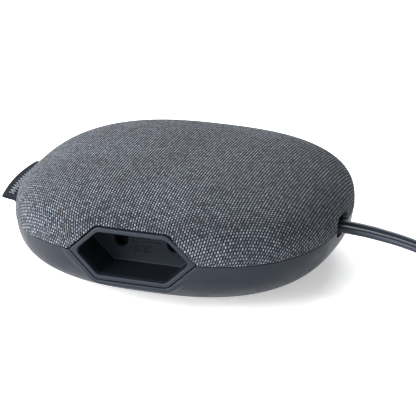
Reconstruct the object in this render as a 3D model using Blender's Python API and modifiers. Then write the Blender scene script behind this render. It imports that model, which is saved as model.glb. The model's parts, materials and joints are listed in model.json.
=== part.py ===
"""A table-top power hub: a pebble-shaped, cloth-covered housing with two two-pin sockets, a flat twin flex and its plug.

Metres, +Z up. The origin is the centre of the foot pad's underside. The flex leaves at +X, the cloth tag is at -X,
and the two sockets face -Y (front) and +Y (rear).
"""

import math

import bmesh
import bpy
from mathutils import Matrix, Vector

MM = 0.001
GAP = 0.3 * MM

# The pebble: its outline is a superellipse at every height, and so is its upright section.
LENGTH = 112.0 * MM
WIDTH = 102.5 * MM
HEIGHT = 40.5 * MM
WIDEST_Z = 21.0 * MM
SINK = 2.0 * MM  # how far the lower curve would run on below the table
PLAN_POWER = 2.62
DOME_POWER = 2.65
BASE_POWER = 2.70
SEGMENTS = 40
DOME_ANGLES = (85, 73, 60, 46, 29, 10)  # degrees, from the top down to the widest line

SEAM_Z = 19.0 * MM
CLOTH_THICKNESS = 1.0 * MM
CLOTH_EDGE_Z = SEAM_Z + 0.5 * MM
CLOTH_LIP = 3.6 * MM
TOP_INSET = CLOTH_THICKNESS + GAP
TOP_WALL = 2.0 * MM
TOP_EDGE_Z = CLOTH_EDGE_Z + 1.1 * MM
BASE_INSET = 0.3 * MM
BASE_WALL = 2.2 * MM
BASE_FLOOR_Z = 3.8 * MM
FOOT_THICKNESS = 1.2 * MM
UNDERSIDE_Z = FOOT_THICKNESS + GAP
FOOT_HALF_X = 33.0 * MM
FOOT_HALF_Y = 30.0 * MM

# A socket, as it faces -Y. Its opening is a long hexagon whose tips lie on the seam.
SOCKET_X = -1.3 * MM
SOCKET_Z = SEAM_Z + 0.25 * MM
CONTACT_Z = SOCKET_Z - 0.4 * MM
BEZEL_TIP = 22.3 * MM
BEZEL_CORNER = 12.6 * MM
BEZEL_HALF_HEIGHT = 9.15 * MM
BEZEL_Y = 50.2 * MM
BEZEL_SAG = 1.1 * MM  # how far the tips stand back from the middle
RIM_WIDTH = 1.55 * MM
FLANGE_DEPTH = 2.4 * MM
RECESS_Y = 34.3 * MM
CUP_WALL = 1.5 * MM
CUP_BACK_Y = RECESS_Y - 1.8 * MM
PIN_SPACING = 19.0 * MM
PIN_HOLE_RADIUS = 2.4 * MM
PIN_RADIUS = 2.0 * MM

# The shutter behind the socket's pin holes slides along +X.
SHUTTER_TRAVEL = 5.2 * MM
SHUTTER_FRONT_Y = CUP_BACK_Y - 0.4 * MM
SHUTTER_THICKNESS = 3.6 * MM
SHUTTER_BACK_Y = SHUTTER_FRONT_Y - SHUTTER_THICKNESS
SHUTTER_HALF_HEIGHT = 3.9 * MM
SHUTTER_WINDOW = 5.4 * MM
SHUTTER_START = -19.3 * MM
SHUTTER_END = 13.3 * MM
SPRING_RADIUS = 1.5 * MM
SPRING_WIRE = 0.4 * MM
SPRING_TURNS = 4.5
BLOCK_HALF_X = 23.5 * MM
BLOCK_FRONT_Y = CUP_BACK_Y - GAP
BLOCK_BACK_Y = 13.5 * MM
EAR_END = 29.8 * MM
BLOCK_BOTTOM_Z = CONTACT_Z - 7.0 * MM
BLOCK_TOP_Z = CONTACT_Z + 6.6 * MM
CHANNEL_END = 21.6 * MM
CLIP_OUTER = 2.9 * MM
CLIP_INNER = 2.1 * MM
CLIP_POCKET = 3.3 * MM
BUSBAR_HALF_WIDTH = 3.0 * MM
BUSBAR_THICKNESS = 0.8 * MM

# Screws.
BASE_SCREW = (36.0 * MM, 20.0 * MM)
BLOCK_SCREW = (27.0 * MM, 22.0 * MM)
CLAMP_SCREW = (40.2 * MM, 7.0 * MM)
CLAMP_HALF_LENGTH = 3.2 * MM
CLAMP_HALF_WIDTH = 9.8 * MM
BOSS_START_Z = 3.6 * MM
BASE_BOSS_TOP_Z = 18.6 * MM

# The flex is a flat twin, 6 mm wide and 3 mm thick; its solid is a round tube of the same section area.
FLEX_WIDTH = 6.0 * MM
FLEX_RADIUS = 2.1 * MM
FLEX_Z = 19.4 * MM
NOTCH_Z = 19.8 * MM
NOTCH_HALF_WIDTH = 5.3 * MM
NOTCH_HALF_HEIGHT = 3.3 * MM
NOTCH_RADIUS = 2.4 * MM
GROMMET_WALL = 0.6 * MM
GROMMET_FRONT_X = 55.2 * MM
GROMMET_FLOOR_X = 50.3 * MM
GROMMET_BACK_X = 48.8 * MM
FLEX_START_X = 50.0 * MM

# The unused flex is wound into a round coil beside the housing.
COIL_X = 125.0 * MM
COIL_Y = 36.0 * MM
COIL_OUTER = 40.3 * MM
COIL_INNER = 25.6 * MM
COIL_BOTTOM = 0.7 * MM
COIL_TOP = 13.2 * MM
END_BEND = 24.0 * MM
END_OFFSET = 9.0 * MM
TIE_ANGLE = math.radians(-130)
TIE_HALF_WIDTH = 4.0 * MM
TIE_THICKNESS = 0.5 * MM

# The flex's route from the grommet to the coil, as points on a smooth curve.
FLEX_ROUTE_MM = (
    (50.0, 0.0, 19.4), (53.0, 0.0, 19.4), (56.0, 0.0, 19.3), (60.0, 0.0, 19.0), (65.0, -0.1, 18.6),
    (70.0, -0.4, 18.0), (76.0, -0.9, 17.2), (82.0, -1.6, 16.1), (88.0, -2.4, 14.6), (95.0, -3.5, 12.3),
    (102.0, -4.6, 9.6), (108.0, -5.4, 7.2), (114.0, -6.0, 5.2),
)

PLUG_BODY_LENGTH = 22.0 * MM
PLUG_RELIEF_LENGTH = 20.0 * MM
PLUG_HALF_WIDTH = 17.6 * MM
PLUG_CORNER = 11.0 * MM
PLUG_HALF_HEIGHT = 6.85 * MM
PLUG_PIN_LENGTH = 19.0 * MM
PLUG_SLEEVE_LENGTH = 10.0 * MM
PLUG_LIFT = COIL_TOP + GAP + PLUG_HALF_HEIGHT


# ---------------------------------------------------------------- scene and materials


def clear_scene():
    for thing in list(bpy.data.objects):
        bpy.data.objects.remove(thing, do_unlink=True)


def new_collection(name, hidden=False):
    made = bpy.data.collections.new(name)
    made.hide_render = hidden
    bpy.context.scene.collection.children.link(made)
    return made


def material(name, colour, roughness, metallic=0.0):
    made = bpy.data.materials.new(name)
    made.use_nodes = True
    shader = made.node_tree.nodes["Principled BSDF"]
    shader.inputs["Base Color"].default_value = (*colour, 1.0)
    shader.inputs["Roughness"].default_value = roughness
    shader.inputs["Metallic"].default_value = metallic
    return made


clear_scene()
PARTS = new_collection("table_top_power_hub")
CUTTERS = new_collection("cutters", hidden=True)

SHELL_GREY = material("shell_grey_plastic", (0.070, 0.078, 0.090), 0.5)
CUP_GREY = material("cup_grey_plastic", (0.060, 0.066, 0.076), 0.45)
BLACK_PLASTIC = material("black_plastic", (0.012, 0.012, 0.014), 0.5)
CLOTH = material("woven_cloth", (0.16, 0.17, 0.19), 0.9)
TAG_CLOTH = material("tag_ribbon", (0.03, 0.033, 0.04), 0.85)
SILICONE = material("silicone", (0.03, 0.03, 0.032), 0.8)
INSULATOR = material("insulator_plastic", (0.05, 0.05, 0.055), 0.6)
BRASS = material("brass", (0.72, 0.52, 0.24), 0.3, 1.0)
STEEL = material("steel", (0.55, 0.55, 0.56), 0.3, 1.0)
FLEX_PVC = material("flex_pvc", (0.055, 0.062, 0.075), 0.4)
CORE_BROWN = material("core_brown", (0.16, 0.06, 0.025), 0.5)
CORE_BLUE = material("core_blue", (0.02, 0.10, 0.42), 0.5)


# ---------------------------------------------------------------- modelling helpers


def new_object(name, mesh, finish, collection=None):
    made = bpy.data.objects.new(name, mesh)
    (collection or PARTS).objects.link(made)
    if finish is not None:
        mesh.materials.append(finish)
    if (collection or PARTS) is CUTTERS:
        made.hide_render = True
        made.display_type = "WIRE"
    return made


def from_bmesh(name, shape, finish, collection=None, smooth=False):
    bmesh.ops.recalc_face_normals(shape, faces=shape.faces)
    mesh = bpy.data.meshes.new(name)
    shape.to_mesh(mesh)
    shape.free()
    if smooth:
        mesh.shade_smooth()
        mesh.set_sharp_from_angle(angle=math.radians(35))
    return new_object(name, mesh, finish, collection)


def loft(name, rings, finish=None, collection=None, looped=False):
    """A skin through rings of equally many points: closed by a cap at each end, or looped back to its first ring."""
    shape = bmesh.new()
    rows = [[shape.verts.new(point) for point in ring] for ring in rings]
    pairs = list(zip(rows, rows[1:]))
    if looped:
        pairs.append((rows[-1], rows[0]))
    for lower, upper in pairs:
        for i in range(len(lower)):
            j = (i + 1) % len(lower)
            shape.faces.new((lower[i], lower[j], upper[j], upper[i]))
    if not looped:
        shape.faces.new(rows[0])
        shape.faces.new(rows[-1])
    return from_bmesh(name, shape, finish, collection, smooth=True)


def box(name, low, high, finish=None, collection=None):
    shape = bmesh.new()
    bmesh.ops.create_cube(shape, size=1.0)
    low, high = Vector(low), Vector(high)
    size = high - low
    bmesh.ops.scale(shape, vec=size, verts=shape.verts)
    bmesh.ops.translate(shape, vec=(low + high) / 2, verts=shape.verts)
    return from_bmesh(name, shape, finish, collection)


def cylinder(name, start, end, radius, finish=None, collection=None, sides=16, end_radius=None):
    start, end = Vector(start), Vector(end)
    axis = end - start
    shape = bmesh.new()
    bmesh.ops.create_cone(
        shape,
        cap_ends=True,
        segments=sides,
        radius1=radius,
        radius2=radius if end_radius is None else end_radius,
        depth=axis.length,
    )
    turn = axis.to_track_quat("Z", "Y").to_matrix().to_4x4()
    bmesh.ops.transform(shape, matrix=Matrix.Translation((start + end) / 2) @ turn, verts=shape.verts)
    return from_bmesh(name, shape, finish, collection, smooth=True)


def boolean(target, other, operation="DIFFERENCE"):
    step = target.modifiers.new(operation.lower() + "_" + other.name, "BOOLEAN")
    step.operation = operation
    step.object = other


def turned(name, profile, finish, sides=16):
    """A solid turned about its own Z axis. The profile runs at +X from the top down, on the axis at both ends."""
    mesh = bpy.data.meshes.new(name)
    points = [(radius, 0.0, height) for radius, height in profile]
    mesh.from_pydata(points, [(i, i + 1) for i in range(len(points) - 1)], [])
    made = new_object(name, mesh, finish)
    screw = made.modifiers.new("turn", "SCREW")
    screw.steps = sides
    screw.render_steps = sides
    screw.use_merge_vertices = True
    screw.merge_threshold = 0.00001
    screw.use_smooth_shade = False
    return made


def tube(name, points, radius, finish, bevel_resolution=2):
    """A round wire or flex along the points."""
    curve = bpy.data.curves.new(name, "CURVE")
    curve.dimensions = "3D"
    curve.bevel_depth = radius
    curve.bevel_resolution = bevel_resolution
    curve.use_fill_caps = True
    spline = curve.splines.new("POLY")
    spline.points.add(len(points) - 1)
    for spot, point in zip(spline.points, points):
        spot.co = (*point, 1.0)
    return new_object(name, curve, finish)


def smooth_route(points, spacing):
    """Points about the spacing apart on a smooth (Catmull-Rom) curve through the given points."""
    points = [Vector(point) for point in points]
    padded = [2 * points[0] - points[1], *points, 2 * points[-1] - points[-2]]
    route = [points[0]]
    for before, start, end, after in zip(padded, padded[1:], padded[2:], padded[3:]):
        steps = max(1, round((end - start).length / spacing))
        for step in range(1, steps + 1):
            t = step / steps
            route.append(
                0.5
                * (
                    2 * start
                    + (end - before) * t
                    + (2 * before - 5 * start + 4 * end - after) * t**2
                    + (3 * start - before - 3 * end + after) * t**3
                )
            )
    return route


def rounded_outline(corners, radii, steps=3):
    """(across, up) points round a convex outline, counter-clockwise, with each corner replaced by an arc."""
    outline = []
    count = len(corners)
    for i, radius in enumerate(radii):
        corner = Vector(corners[i])
        back = (Vector(corners[i - 1]) - corner).normalized()
        ahead = (Vector(corners[(i + 1) % count]) - corner).normalized()
        half = back.angle(ahead) / 2
        middle = corner + (back + ahead).normalized() * (radius / math.sin(half))
        first = corner + back * (radius / math.tan(half))
        arm = first - middle
        sweep = math.pi - 2 * half
        for step in range(steps + 1):
            turn = sweep * step / steps
            c, s = math.cos(turn), math.sin(turn)
            outline.append(middle + Vector((arm.x * c - arm.y * s, arm.x * s + arm.y * c)))
    return outline


def rounded_rectangle(half_width, half_height, radius, steps=3):
    corners = [
        (half_width, half_height),
        (-half_width, half_height),
        (-half_width, -half_height),
        (half_width, -half_height),
    ]
    return rounded_outline(corners, [radius] * 4, steps)


# ---------------------------------------------------------------- the pebble


def superellipse(half_x, half_y, z, segments=SEGMENTS):
    ring = []
    for i in range(segments):
        angle = 2 * math.pi * i / segments
        c, s = math.cos(angle), math.sin(angle)
        reach = (abs(c) / half_x) ** PLAN_POWER + (abs(s) / half_y) ** PLAN_POWER
        radius = reach ** (-1 / PLAN_POWER)
        ring.append(Vector((radius * c, radius * s, z)))
    return ring


def pebble_ring(z, inset=0.0):
    """The outline at height z of the surface that lies the inset inside the pebble."""
    if z >= WIDEST_Z:
        rise = (z - WIDEST_Z) / (HEIGHT - inset - WIDEST_Z)
        share = (1 - rise**DOME_POWER) ** (1 / DOME_POWER)
    else:
        drop = (WIDEST_Z - z) / (WIDEST_Z + SINK - inset)
        share = (1 - drop**BASE_POWER) ** (1 / BASE_POWER)
    return superellipse(share * (LENGTH / 2 - inset), share * (WIDTH / 2 - inset), z)


def dome_rings(inset):
    """Rings from the top of the dome down to just above its widest line."""
    rise = HEIGHT - inset - WIDEST_Z
    heights = [WIDEST_Z + rise * math.sin(math.radians(a)) ** (2 / DOME_POWER) for a in DOME_ANGLES]
    return [pebble_ring(z, inset) for z in heights]


def fabric_cover():
    inner = [*dome_rings(CLOTH_THICKNESS), pebble_ring(CLOTH_EDGE_Z + 0.8 * MM, CLOTH_THICKNESS)]
    rings = [
        *dome_rings(0.0),
        pebble_ring(CLOTH_EDGE_Z + 0.3 * MM),
        pebble_ring(CLOTH_EDGE_Z, 0.4 * MM),
        pebble_ring(CLOTH_EDGE_Z, CLOTH_LIP),
        pebble_ring(CLOTH_EDGE_Z + 0.8 * MM, CLOTH_LIP),
        *reversed(inner),
    ]
    return loft("fabric_cover", rings, CLOTH)


def top_shell():
    inset = TOP_INSET + TOP_WALL
    rings = [
        *dome_rings(TOP_INSET),
        pebble_ring(TOP_EDGE_Z, TOP_INSET),
        pebble_ring(TOP_EDGE_Z, inset),
        *reversed(dome_rings(inset)),
    ]
    made = loft("top_shell", rings, BLACK_PLASTIC)
    for i, (x, y) in enumerate(four(BASE_SCREW)):
        post = cylinder(f"top_post_{i}", (x, y, SEAM_Z), (x, y, 34.6 * MM), 3.4 * MM, collection=CUTTERS)
        boolean(made, post, "UNION")
    for i, (x, y) in enumerate(four(BASE_SCREW)):
        bore = cylinder(f"top_bore_{i}", (x, y, 15 * MM), (x, y, 30 * MM), 1.7 * MM, collection=CUTTERS)
        boolean(made, bore)
    return made


def block_screw_places():
    x, y = BLOCK_SCREW
    return [(SOCKET_X + x, -y), (SOCKET_X - x, -y), (-SOCKET_X + x, y), (-SOCKET_X - x, y)]


def four(place):
    """The four points at (+-x, +-y)."""
    x, y = place
    return [(x, y), (-x, y), (-x, -y), (x, -y)]


def base_shell():
    inset = BASE_INSET + BASE_WALL
    outer = [UNDERSIDE_Z, 2.8 * MM, 4.8 * MM, 8.0 * MM, 12.5 * MM, SEAM_Z]
    inner = [SEAM_Z, 13.0 * MM, 8.0 * MM, 5.2 * MM, BASE_FLOOR_Z]
    rings = [pebble_ring(z, BASE_INSET) for z in outer] + [pebble_ring(z, inset) for z in inner]
    made = loft("base_shell", rings, SHELL_GREY)
    for facing, turn in SIDES:
        boolean(made, base_collar(facing, turn), "UNION")
    additions = [
        cylinder(f"base_boss_{i}", (x, y, BOSS_START_Z), (x, y, BASE_BOSS_TOP_Z), 4.5 * MM, collection=CUTTERS)
        for i, (x, y) in enumerate(four(BASE_SCREW))
    ]
    additions += [
        cylinder(f"block_boss_{i}", (x, y, BOSS_START_Z), (x, y, BLOCK_BOTTOM_Z - GAP), 3.2 * MM, collection=CUTTERS)
        for i, (x, y) in enumerate(block_screw_places())
    ]
    clamp_x = CLAMP_SCREW[0]
    saddle_low = (clamp_x - CLAMP_HALF_LENGTH, -CLAMP_HALF_WIDTH, BOSS_START_Z)
    saddle_high = (clamp_x + CLAMP_HALF_LENGTH, CLAMP_HALF_WIDTH, FLEX_Z - FLEX_RADIUS - GAP)
    additions.append(box("flex_saddle", saddle_low, saddle_high, collection=CUTTERS))
    for addition in additions:
        boolean(made, addition, "UNION")
    removals = []
    for i, (x, y) in enumerate(four(BASE_SCREW)):
        removals.append(cylinder(f"base_sink_{i}", (x, y, -MM), (x, y, 6.2 * MM), 3.2 * MM, collection=CUTTERS))
        removals.append(cylinder(f"base_bore_{i}", (x, y, 5 * MM), (x, y, 20 * MM), 1.8 * MM, collection=CUTTERS))
    for i, (x, y) in enumerate(block_screw_places()):
        removals.append(cylinder(f"block_bore_{i}", (x, y, 6 * MM), (x, y, 14 * MM), 1.5 * MM, collection=CUTTERS))
    for i, (x, y) in enumerate(four(CLAMP_SCREW)[::3]):
        removals.append(cylinder(f"saddle_bore_{i}", (x, y, 8 * MM), (x, y, 20 * MM), 1.5 * MM, collection=CUTTERS))
    slot_low = (-60 * MM, -TAG_HALF_LENGTH - GAP, TAG_SLOT_Z)
    removals.append(box("tag_slot", slot_low, (-50 * MM, TAG_HALF_LENGTH + GAP, 22 * MM), collection=CUTTERS))
    for removal in removals:
        boolean(made, removal)
    return made


def foot_pad():
    chamfer = 0.4 * MM
    rings = [
        superellipse(FOOT_HALF_X - chamfer, FOOT_HALF_Y - chamfer, 0.0),
        superellipse(FOOT_HALF_X, FOOT_HALF_Y, chamfer),
        superellipse(FOOT_HALF_X, FOOT_HALF_Y, FOOT_THICKNESS),
    ]
    return loft("foot_pad", rings, SILICONE)


# ---------------------------------------------------------------- sockets


def hexagon(grow, tip_radius, corner_radius):
    """The bezel's hexagon, moved outwards by grow, as (x, z) points about the socket's middle."""
    slope = (BEZEL_TIP - BEZEL_CORNER) / BEZEL_HALF_HEIGHT
    height = BEZEL_HALF_HEIGHT + grow
    tip = BEZEL_TIP + grow * math.hypot(1.0, slope)
    corner = tip - height * slope
    corners = [(tip, 0), (corner, height), (-corner, height), (-tip, 0), (-corner, -height), (corner, -height)]
    radii = [tip_radius, corner_radius, corner_radius] * 2
    return rounded_outline(corners, radii)


def socket_ring(outline, depth, curved=True, middle_z=SOCKET_Z):
    """The outline in the socket's face, the depth behind it; or, not curved, in the plane y = -depth."""
    ring = []
    for x, z in outline:
        y = -BEZEL_Y + BEZEL_SAG * (x / BEZEL_TIP) ** 2 + depth if curved else -depth
        ring.append(Vector((x, y, middle_z + z)))
    return ring


def set_in_socket(made, turn, y=0.0, z=0.0):
    """Moves a piece made about x = 0 to the front socket's middle, or, turned by pi, to the rear socket's."""
    made.location = Matrix.Rotation(turn, 3, "Z") @ Vector((SOCKET_X, y, z))
    made.rotation_euler = (0.0, 0.0, turn)
    return made


def socket_cutter(name, grow, turn):
    outline = hexagon(grow, 0.4 * MM, 4.0 * MM)
    rings = [socket_ring(outline, 60 * MM, False), socket_ring(outline, CUP_BACK_Y, False)]
    return set_in_socket(loft(name, rings, collection=CUTTERS), turn)


def base_collar(facing, turn):
    """The lip of the base round the lower half of a bezel, where the bezel stands proud of the pebble."""
    outer, edge, inner = (hexagon(grow * MM, 0.4 * MM, 4.0 * MM) for grow in (1.6, 1.2, -1.0))
    rings = [
        socket_ring(outer, 5.0 * MM),
        socket_ring(outer, 0.7 * MM),
        socket_ring(edge, 0.2 * MM),
        socket_ring(inner, 0.2 * MM),
        socket_ring(inner, 5.0 * MM),
    ]
    collar = loft(f"collar_{facing}", rings, collection=CUTTERS, looped=True)
    over = box(f"collar_trim_{facing}", (-30 * MM, -60 * MM, SEAM_Z), (30 * MM, -30 * MM, 40 * MM), collection=CUTTERS)
    boolean(collar, set_in_socket(over, turn))
    return set_in_socket(collar, turn)


def socket_cup(facing, turn):
    rim = 0.35 * MM
    outside = hexagon(-RIM_WIDTH + CUP_WALL - 0.2 * MM, 2.0 * MM, 3.6 * MM)
    rings = [
        socket_ring(outside, CUP_BACK_Y, False),
        socket_ring(outside, FLANGE_DEPTH),
        socket_ring(hexagon(0.0, 0.3 * MM, 3.8 * MM), FLANGE_DEPTH),
        socket_ring(hexagon(0.0, 0.3 * MM, 3.8 * MM), rim),
        socket_ring(hexagon(-rim, 0.3 * MM, 3.6 * MM), 0.0),
        socket_ring(hexagon(-RIM_WIDTH + rim, 1.8 * MM, 3.2 * MM), 0.0),
        socket_ring(hexagon(-RIM_WIDTH, 1.8 * MM, 3.0 * MM), rim),
        socket_ring(hexagon(-RIM_WIDTH - 0.15 * MM, 1.8 * MM, 3.0 * MM), RECESS_Y, False, CONTACT_Z),
    ]
    cup = loft(f"socket_cup_{facing}", rings, CUP_GREY)
    for i, x in enumerate((-PIN_SPACING / 2, PIN_SPACING / 2)):
        start, end = (x, -CUP_BACK_Y + 2 * MM, CONTACT_Z), (x, -RECESS_Y - 2 * MM, CONTACT_Z)
        hole = cylinder(f"pin_hole_{facing}_{i}", start, end, PIN_HOLE_RADIUS, collection=CUTTERS, sides=20)
        boolean(cup, set_in_socket(hole, turn))
    return set_in_socket(cup, turn)


def shutter(facing, turn):
    """A slider with a ramp behind each pin hole. Its origin lies on the line that it slides along."""
    slide_y = -(SHUTTER_FRONT_Y + SHUTTER_BACK_Y) / 2
    half_y, half_z = SHUTTER_THICKNESS / 2, SHUTTER_HALF_HEIGHT
    made = box(f"shutter_{facing}", (SHUTTER_START, -half_y, -half_z), (SHUTTER_END, half_y, half_z), BLACK_PLASTIC)
    stub = cylinder(f"shutter_stub_{facing}", (SHUTTER_END - MM, 0, 0), (SHUTTER_END + 1.6 * MM, 0, 0), MM,
                    collection=CUTTERS, sides=10)
    helpers = [stub]
    boolean(made, stub, "UNION")
    for i, pin in enumerate((-PIN_SPACING / 2, PIN_SPACING / 2)):
        edge = pin - SHUTTER_WINDOW / 2
        over = 0.5 * MM
        ramp = SHUTTER_WINDOW / SHUTTER_THICKNESS
        section = [
            (edge - SHUTTER_WINDOW, -half_y - over),
            (edge + SHUTTER_WINDOW + over * ramp, -half_y - over),
            (edge, half_y),
            (edge, half_y + over),
            (edge - SHUTTER_WINDOW, half_y + over),
        ]
        rings = [[Vector((x, y, z)) for x, y in section] for z in (-half_z + MM, half_z - MM)]
        window = loft(f"shutter_window_{facing}_{i}", rings, collection=CUTTERS)
        helpers.append(window)
        boolean(made, window)
    for piece in (made, *helpers):
        set_in_socket(piece, turn, slide_y, CONTACT_Z)
    return made


def shutter_spring(facing, turn):
    """The coil spring that pushes the shutter shut, from its stub to the end of the channel."""
    start, end = SHUTTER_END + GAP + SPRING_WIRE / 2, CHANNEL_END - GAP - SPRING_WIRE / 2
    steps = 9
    count = round(SPRING_TURNS * steps)
    y = -(SHUTTER_FRONT_Y + SHUTTER_BACK_Y) / 2
    points = []
    for i in range(count + 1):
        angle = 2 * math.pi * i / steps
        x = start + (end - start) * i / count
        points.append((x, y + SPRING_RADIUS * math.cos(angle), CONTACT_Z + SPRING_RADIUS * math.sin(angle)))
    return set_in_socket(tube(f"shutter_spring_{facing}", points, SPRING_WIRE / 2, STEEL, 0), turn)


def contact_block(facing, turn):
    low = (-BLOCK_HALF_X, -BLOCK_FRONT_Y, BLOCK_BOTTOM_Z)
    block = box(f"contact_block_{facing}", low, (BLOCK_HALF_X, -BLOCK_BACK_Y, BLOCK_TOP_Z), INSULATOR)
    ear_x, ear_y = BLOCK_SCREW
    for i, side in enumerate((-1, 1)):
        ear = box(
            f"block_ear_{facing}_{i}",
            (22.0 * MM if side > 0 else -EAR_END, -ear_y - 4 * MM, BLOCK_BOTTOM_Z),
            (EAR_END if side > 0 else -22.0 * MM, -ear_y + 4 * MM, BLOCK_BOTTOM_Z + 2.5 * MM),
            collection=CUTTERS,
        )
        hole_start, hole_end = (side * ear_x, -ear_y, 8 * MM), (side * ear_x, -ear_y, 18 * MM)
        hole = cylinder(f"ear_hole_{facing}_{i}", hole_start, hole_end, 1.5 * MM, collection=CUTTERS, sides=12)
        boolean(block, set_in_socket(ear, turn), "UNION")
        boolean(block, set_in_socket(hole, turn))
    clear = GAP
    channel = box(
        f"shutter_channel_{facing}",
        (SHUTTER_START - clear, -BLOCK_FRONT_Y - 2 * MM, CONTACT_Z - SHUTTER_HALF_HEIGHT - clear),
        (CHANNEL_END, -SHUTTER_BACK_Y + clear, CONTACT_Z + SHUTTER_HALF_HEIGHT + clear),
        collection=CUTTERS,
    )
    boolean(block, set_in_socket(channel, turn))
    for i, x in enumerate((-PIN_SPACING / 2, PIN_SPACING / 2)):
        start, end = (x, -SHUTTER_BACK_Y - MM, CONTACT_Z), (x, -BLOCK_BACK_Y + MM, CONTACT_Z)
        pocket = cylinder(f"clip_pocket_{facing}_{i}", start, end, CLIP_POCKET, collection=CUTTERS)
        boolean(block, set_in_socket(pocket, turn))
    return set_in_socket(block, turn)


def contact_clip(facing, turn, pole, x):
    """A split spring sleeve that grips a plug's pin."""
    front, back = -SHUTTER_BACK_Y + 1.2 * MM, -BLOCK_BACK_Y - GAP
    opening = math.radians(50)
    steps = 9
    section = []
    for radius, order in ((CLIP_OUTER, range(steps + 1)), (CLIP_INNER, range(steps, -1, -1))):
        for i in order:
            angle = math.pi / 2 + opening / 2 + (2 * math.pi - opening) * i / steps
            section.append((x + radius * math.cos(angle), CONTACT_Z + radius * math.sin(angle)))
    rings = [[Vector((across, y, up)) for across, up in section] for y in (front, back)]
    return set_in_socket(loft(f"contact_clip_{facing}_{pole}", rings, BRASS), turn)


def block_screws(facing, turn):
    x, y = BLOCK_SCREW
    seat_z = BLOCK_BOTTOM_Z + 2.5 * MM + GAP
    for side, word in ((-1, "left"), (1, "right")):
        name = f"block_screw_{facing}_{word}"
        screw(name, SOCKET_X + side * x, -y, seat_z, 7.0 * MM, 1.1 * MM, 2.4 * MM, turn)


def socket(facing, turn):
    """One socket with its shutter, contacts and screws."""
    socket_cup(facing, turn)
    shutter(facing, turn)
    shutter_spring(facing, turn)
    contact_block(facing, turn)
    poles = (("live", PIN_SPACING / 2), ("neutral", -PIN_SPACING / 2))
    for pole, x in poles:
        contact_clip(facing, turn, pole, x * math.cos(turn))
    block_screws(facing, turn)


# ---------------------------------------------------------------- screws, busbars and wires


def screw(name, x, y, seat_z, length, radius, head_radius, turn=0.0, upside_down=False):
    """A pan-head screw with its head on seat_z and its shank below, or above if it is upside down."""
    head = 1.6 * MM
    slot = 0.5 * MM
    profile = [
        (0.0, head - slot),
        (0.9 * MM, head - slot),
        (0.9 * MM, head),
        (head_radius - 0.5 * MM, head),
        (head_radius, head - 0.6 * MM),
        (head_radius, 0.0),
        (radius, 0.0),
        (radius, -length + radius),
        (0.0, -length),
    ]
    made = turned(name, profile, STEEL, 12)
    made.location = Matrix.Rotation(turn, 3, "Z") @ Vector((x, y, seat_z))
    made.rotation_euler = (math.pi if upside_down else 0.0, 0.0, turn)
    return made


def base_screws():
    for i, (x, y) in enumerate(four(BASE_SCREW)):
        screw(f"base_screw_{i + 1}", x, y, 6.2 * MM - GAP, 22.0 * MM, 1.4 * MM, 2.8 * MM, upside_down=True)


def busbar(pole, x):
    """A brass strip from the front socket's contact to the rear one's, with a turned-up tab at each end."""
    half, thick = BUSBAR_HALF_WIDTH, BUSBAR_THICKNESS
    end_y = BLOCK_BACK_Y - GAP
    strip_low = (x - half, -end_y, CONTACT_Z - thick / 2)
    strip = box(f"busbar_{pole}", strip_low, (x + half, end_y, CONTACT_Z + thick / 2), BRASS)
    for i, (y, tab_x) in enumerate(((-end_y, x + SOCKET_X), (end_y - thick, x - SOCKET_X))):
        tab_low, tab_high = (tab_x - half, y, CONTACT_Z - half), (tab_x + half, y + thick, CONTACT_Z + half)
        boolean(strip, box(f"tab_{pole}_{i}", tab_low, tab_high, collection=CUTTERS), "UNION")
    return strip


def terminal(pole, x, y, towards):
    """The crimped tab that joins a core to its busbar, open towards the core."""
    bottom = CONTACT_Z + BUSBAR_THICKNESS / 2 + GAP
    made = box(f"terminal_{pole}", (x - 3.0 * MM, y - 2.6 * MM, bottom), (x + 3.0 * MM, y + 2.6 * MM, bottom + 0.8 * MM), BRASS)
    start = (x, y, bottom + 1.4 * MM)
    end = (x + towards * 3.6 * MM, y, bottom + 1.4 * MM)
    boolean(made, cylinder(f"barrel_{pole}", start, end, 1.3 * MM, collection=CUTTERS, sides=12), "UNION")
    return made


def core_wires():
    up = CONTACT_Z + BUSBAR_THICKNESS / 2 + GAP + 1.4 * MM
    start_x = FLEX_TAIL_END_X - GAP
    live = [
        (start_x, 1.3 * MM, FLEX_Z),
        (start_x - 2 * MM, 1.3 * MM, FLEX_Z),
        (28 * MM, 2.6 * MM, 20.6 * MM),
        (20 * MM, 1.6 * MM, 21.4 * MM),
        (PIN_SPACING / 2 + 6.5 * MM, 1.0 * MM, up),
        (PIN_SPACING / 2 + 4.0 * MM, 1.0 * MM, up),
    ]
    neutral = [
        (start_x, -1.3 * MM, FLEX_Z),
        (start_x - 2 * MM, -1.3 * MM, FLEX_Z),
        (28 * MM, -3.8 * MM, 22.2 * MM),
        (20 * MM, -5.0 * MM, 25.4 * MM),
        (8 * MM, -5.0 * MM, 26.0 * MM),
        (1 * MM, -3.2 * MM, 23.8 * MM),
        (-PIN_SPACING / 2 + 6.5 * MM, -1.0 * MM, up),
        (-PIN_SPACING / 2 + 4.0 * MM, -1.0 * MM, up),
    ]
    tube("core_live", smooth_route(live, 3.0 * MM), 1.1 * MM, CORE_BROWN)
    tube("core_neutral", smooth_route(neutral, 3.0 * MM), 1.1 * MM, CORE_BLUE)
    terminal("live", PIN_SPACING / 2, 1.0 * MM, 1)
    terminal("neutral", -PIN_SPACING / 2, -1.0 * MM, 1)


# ---------------------------------------------------------------- flex entry


FLEX_TAIL_END_X = 35.4 * MM


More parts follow.
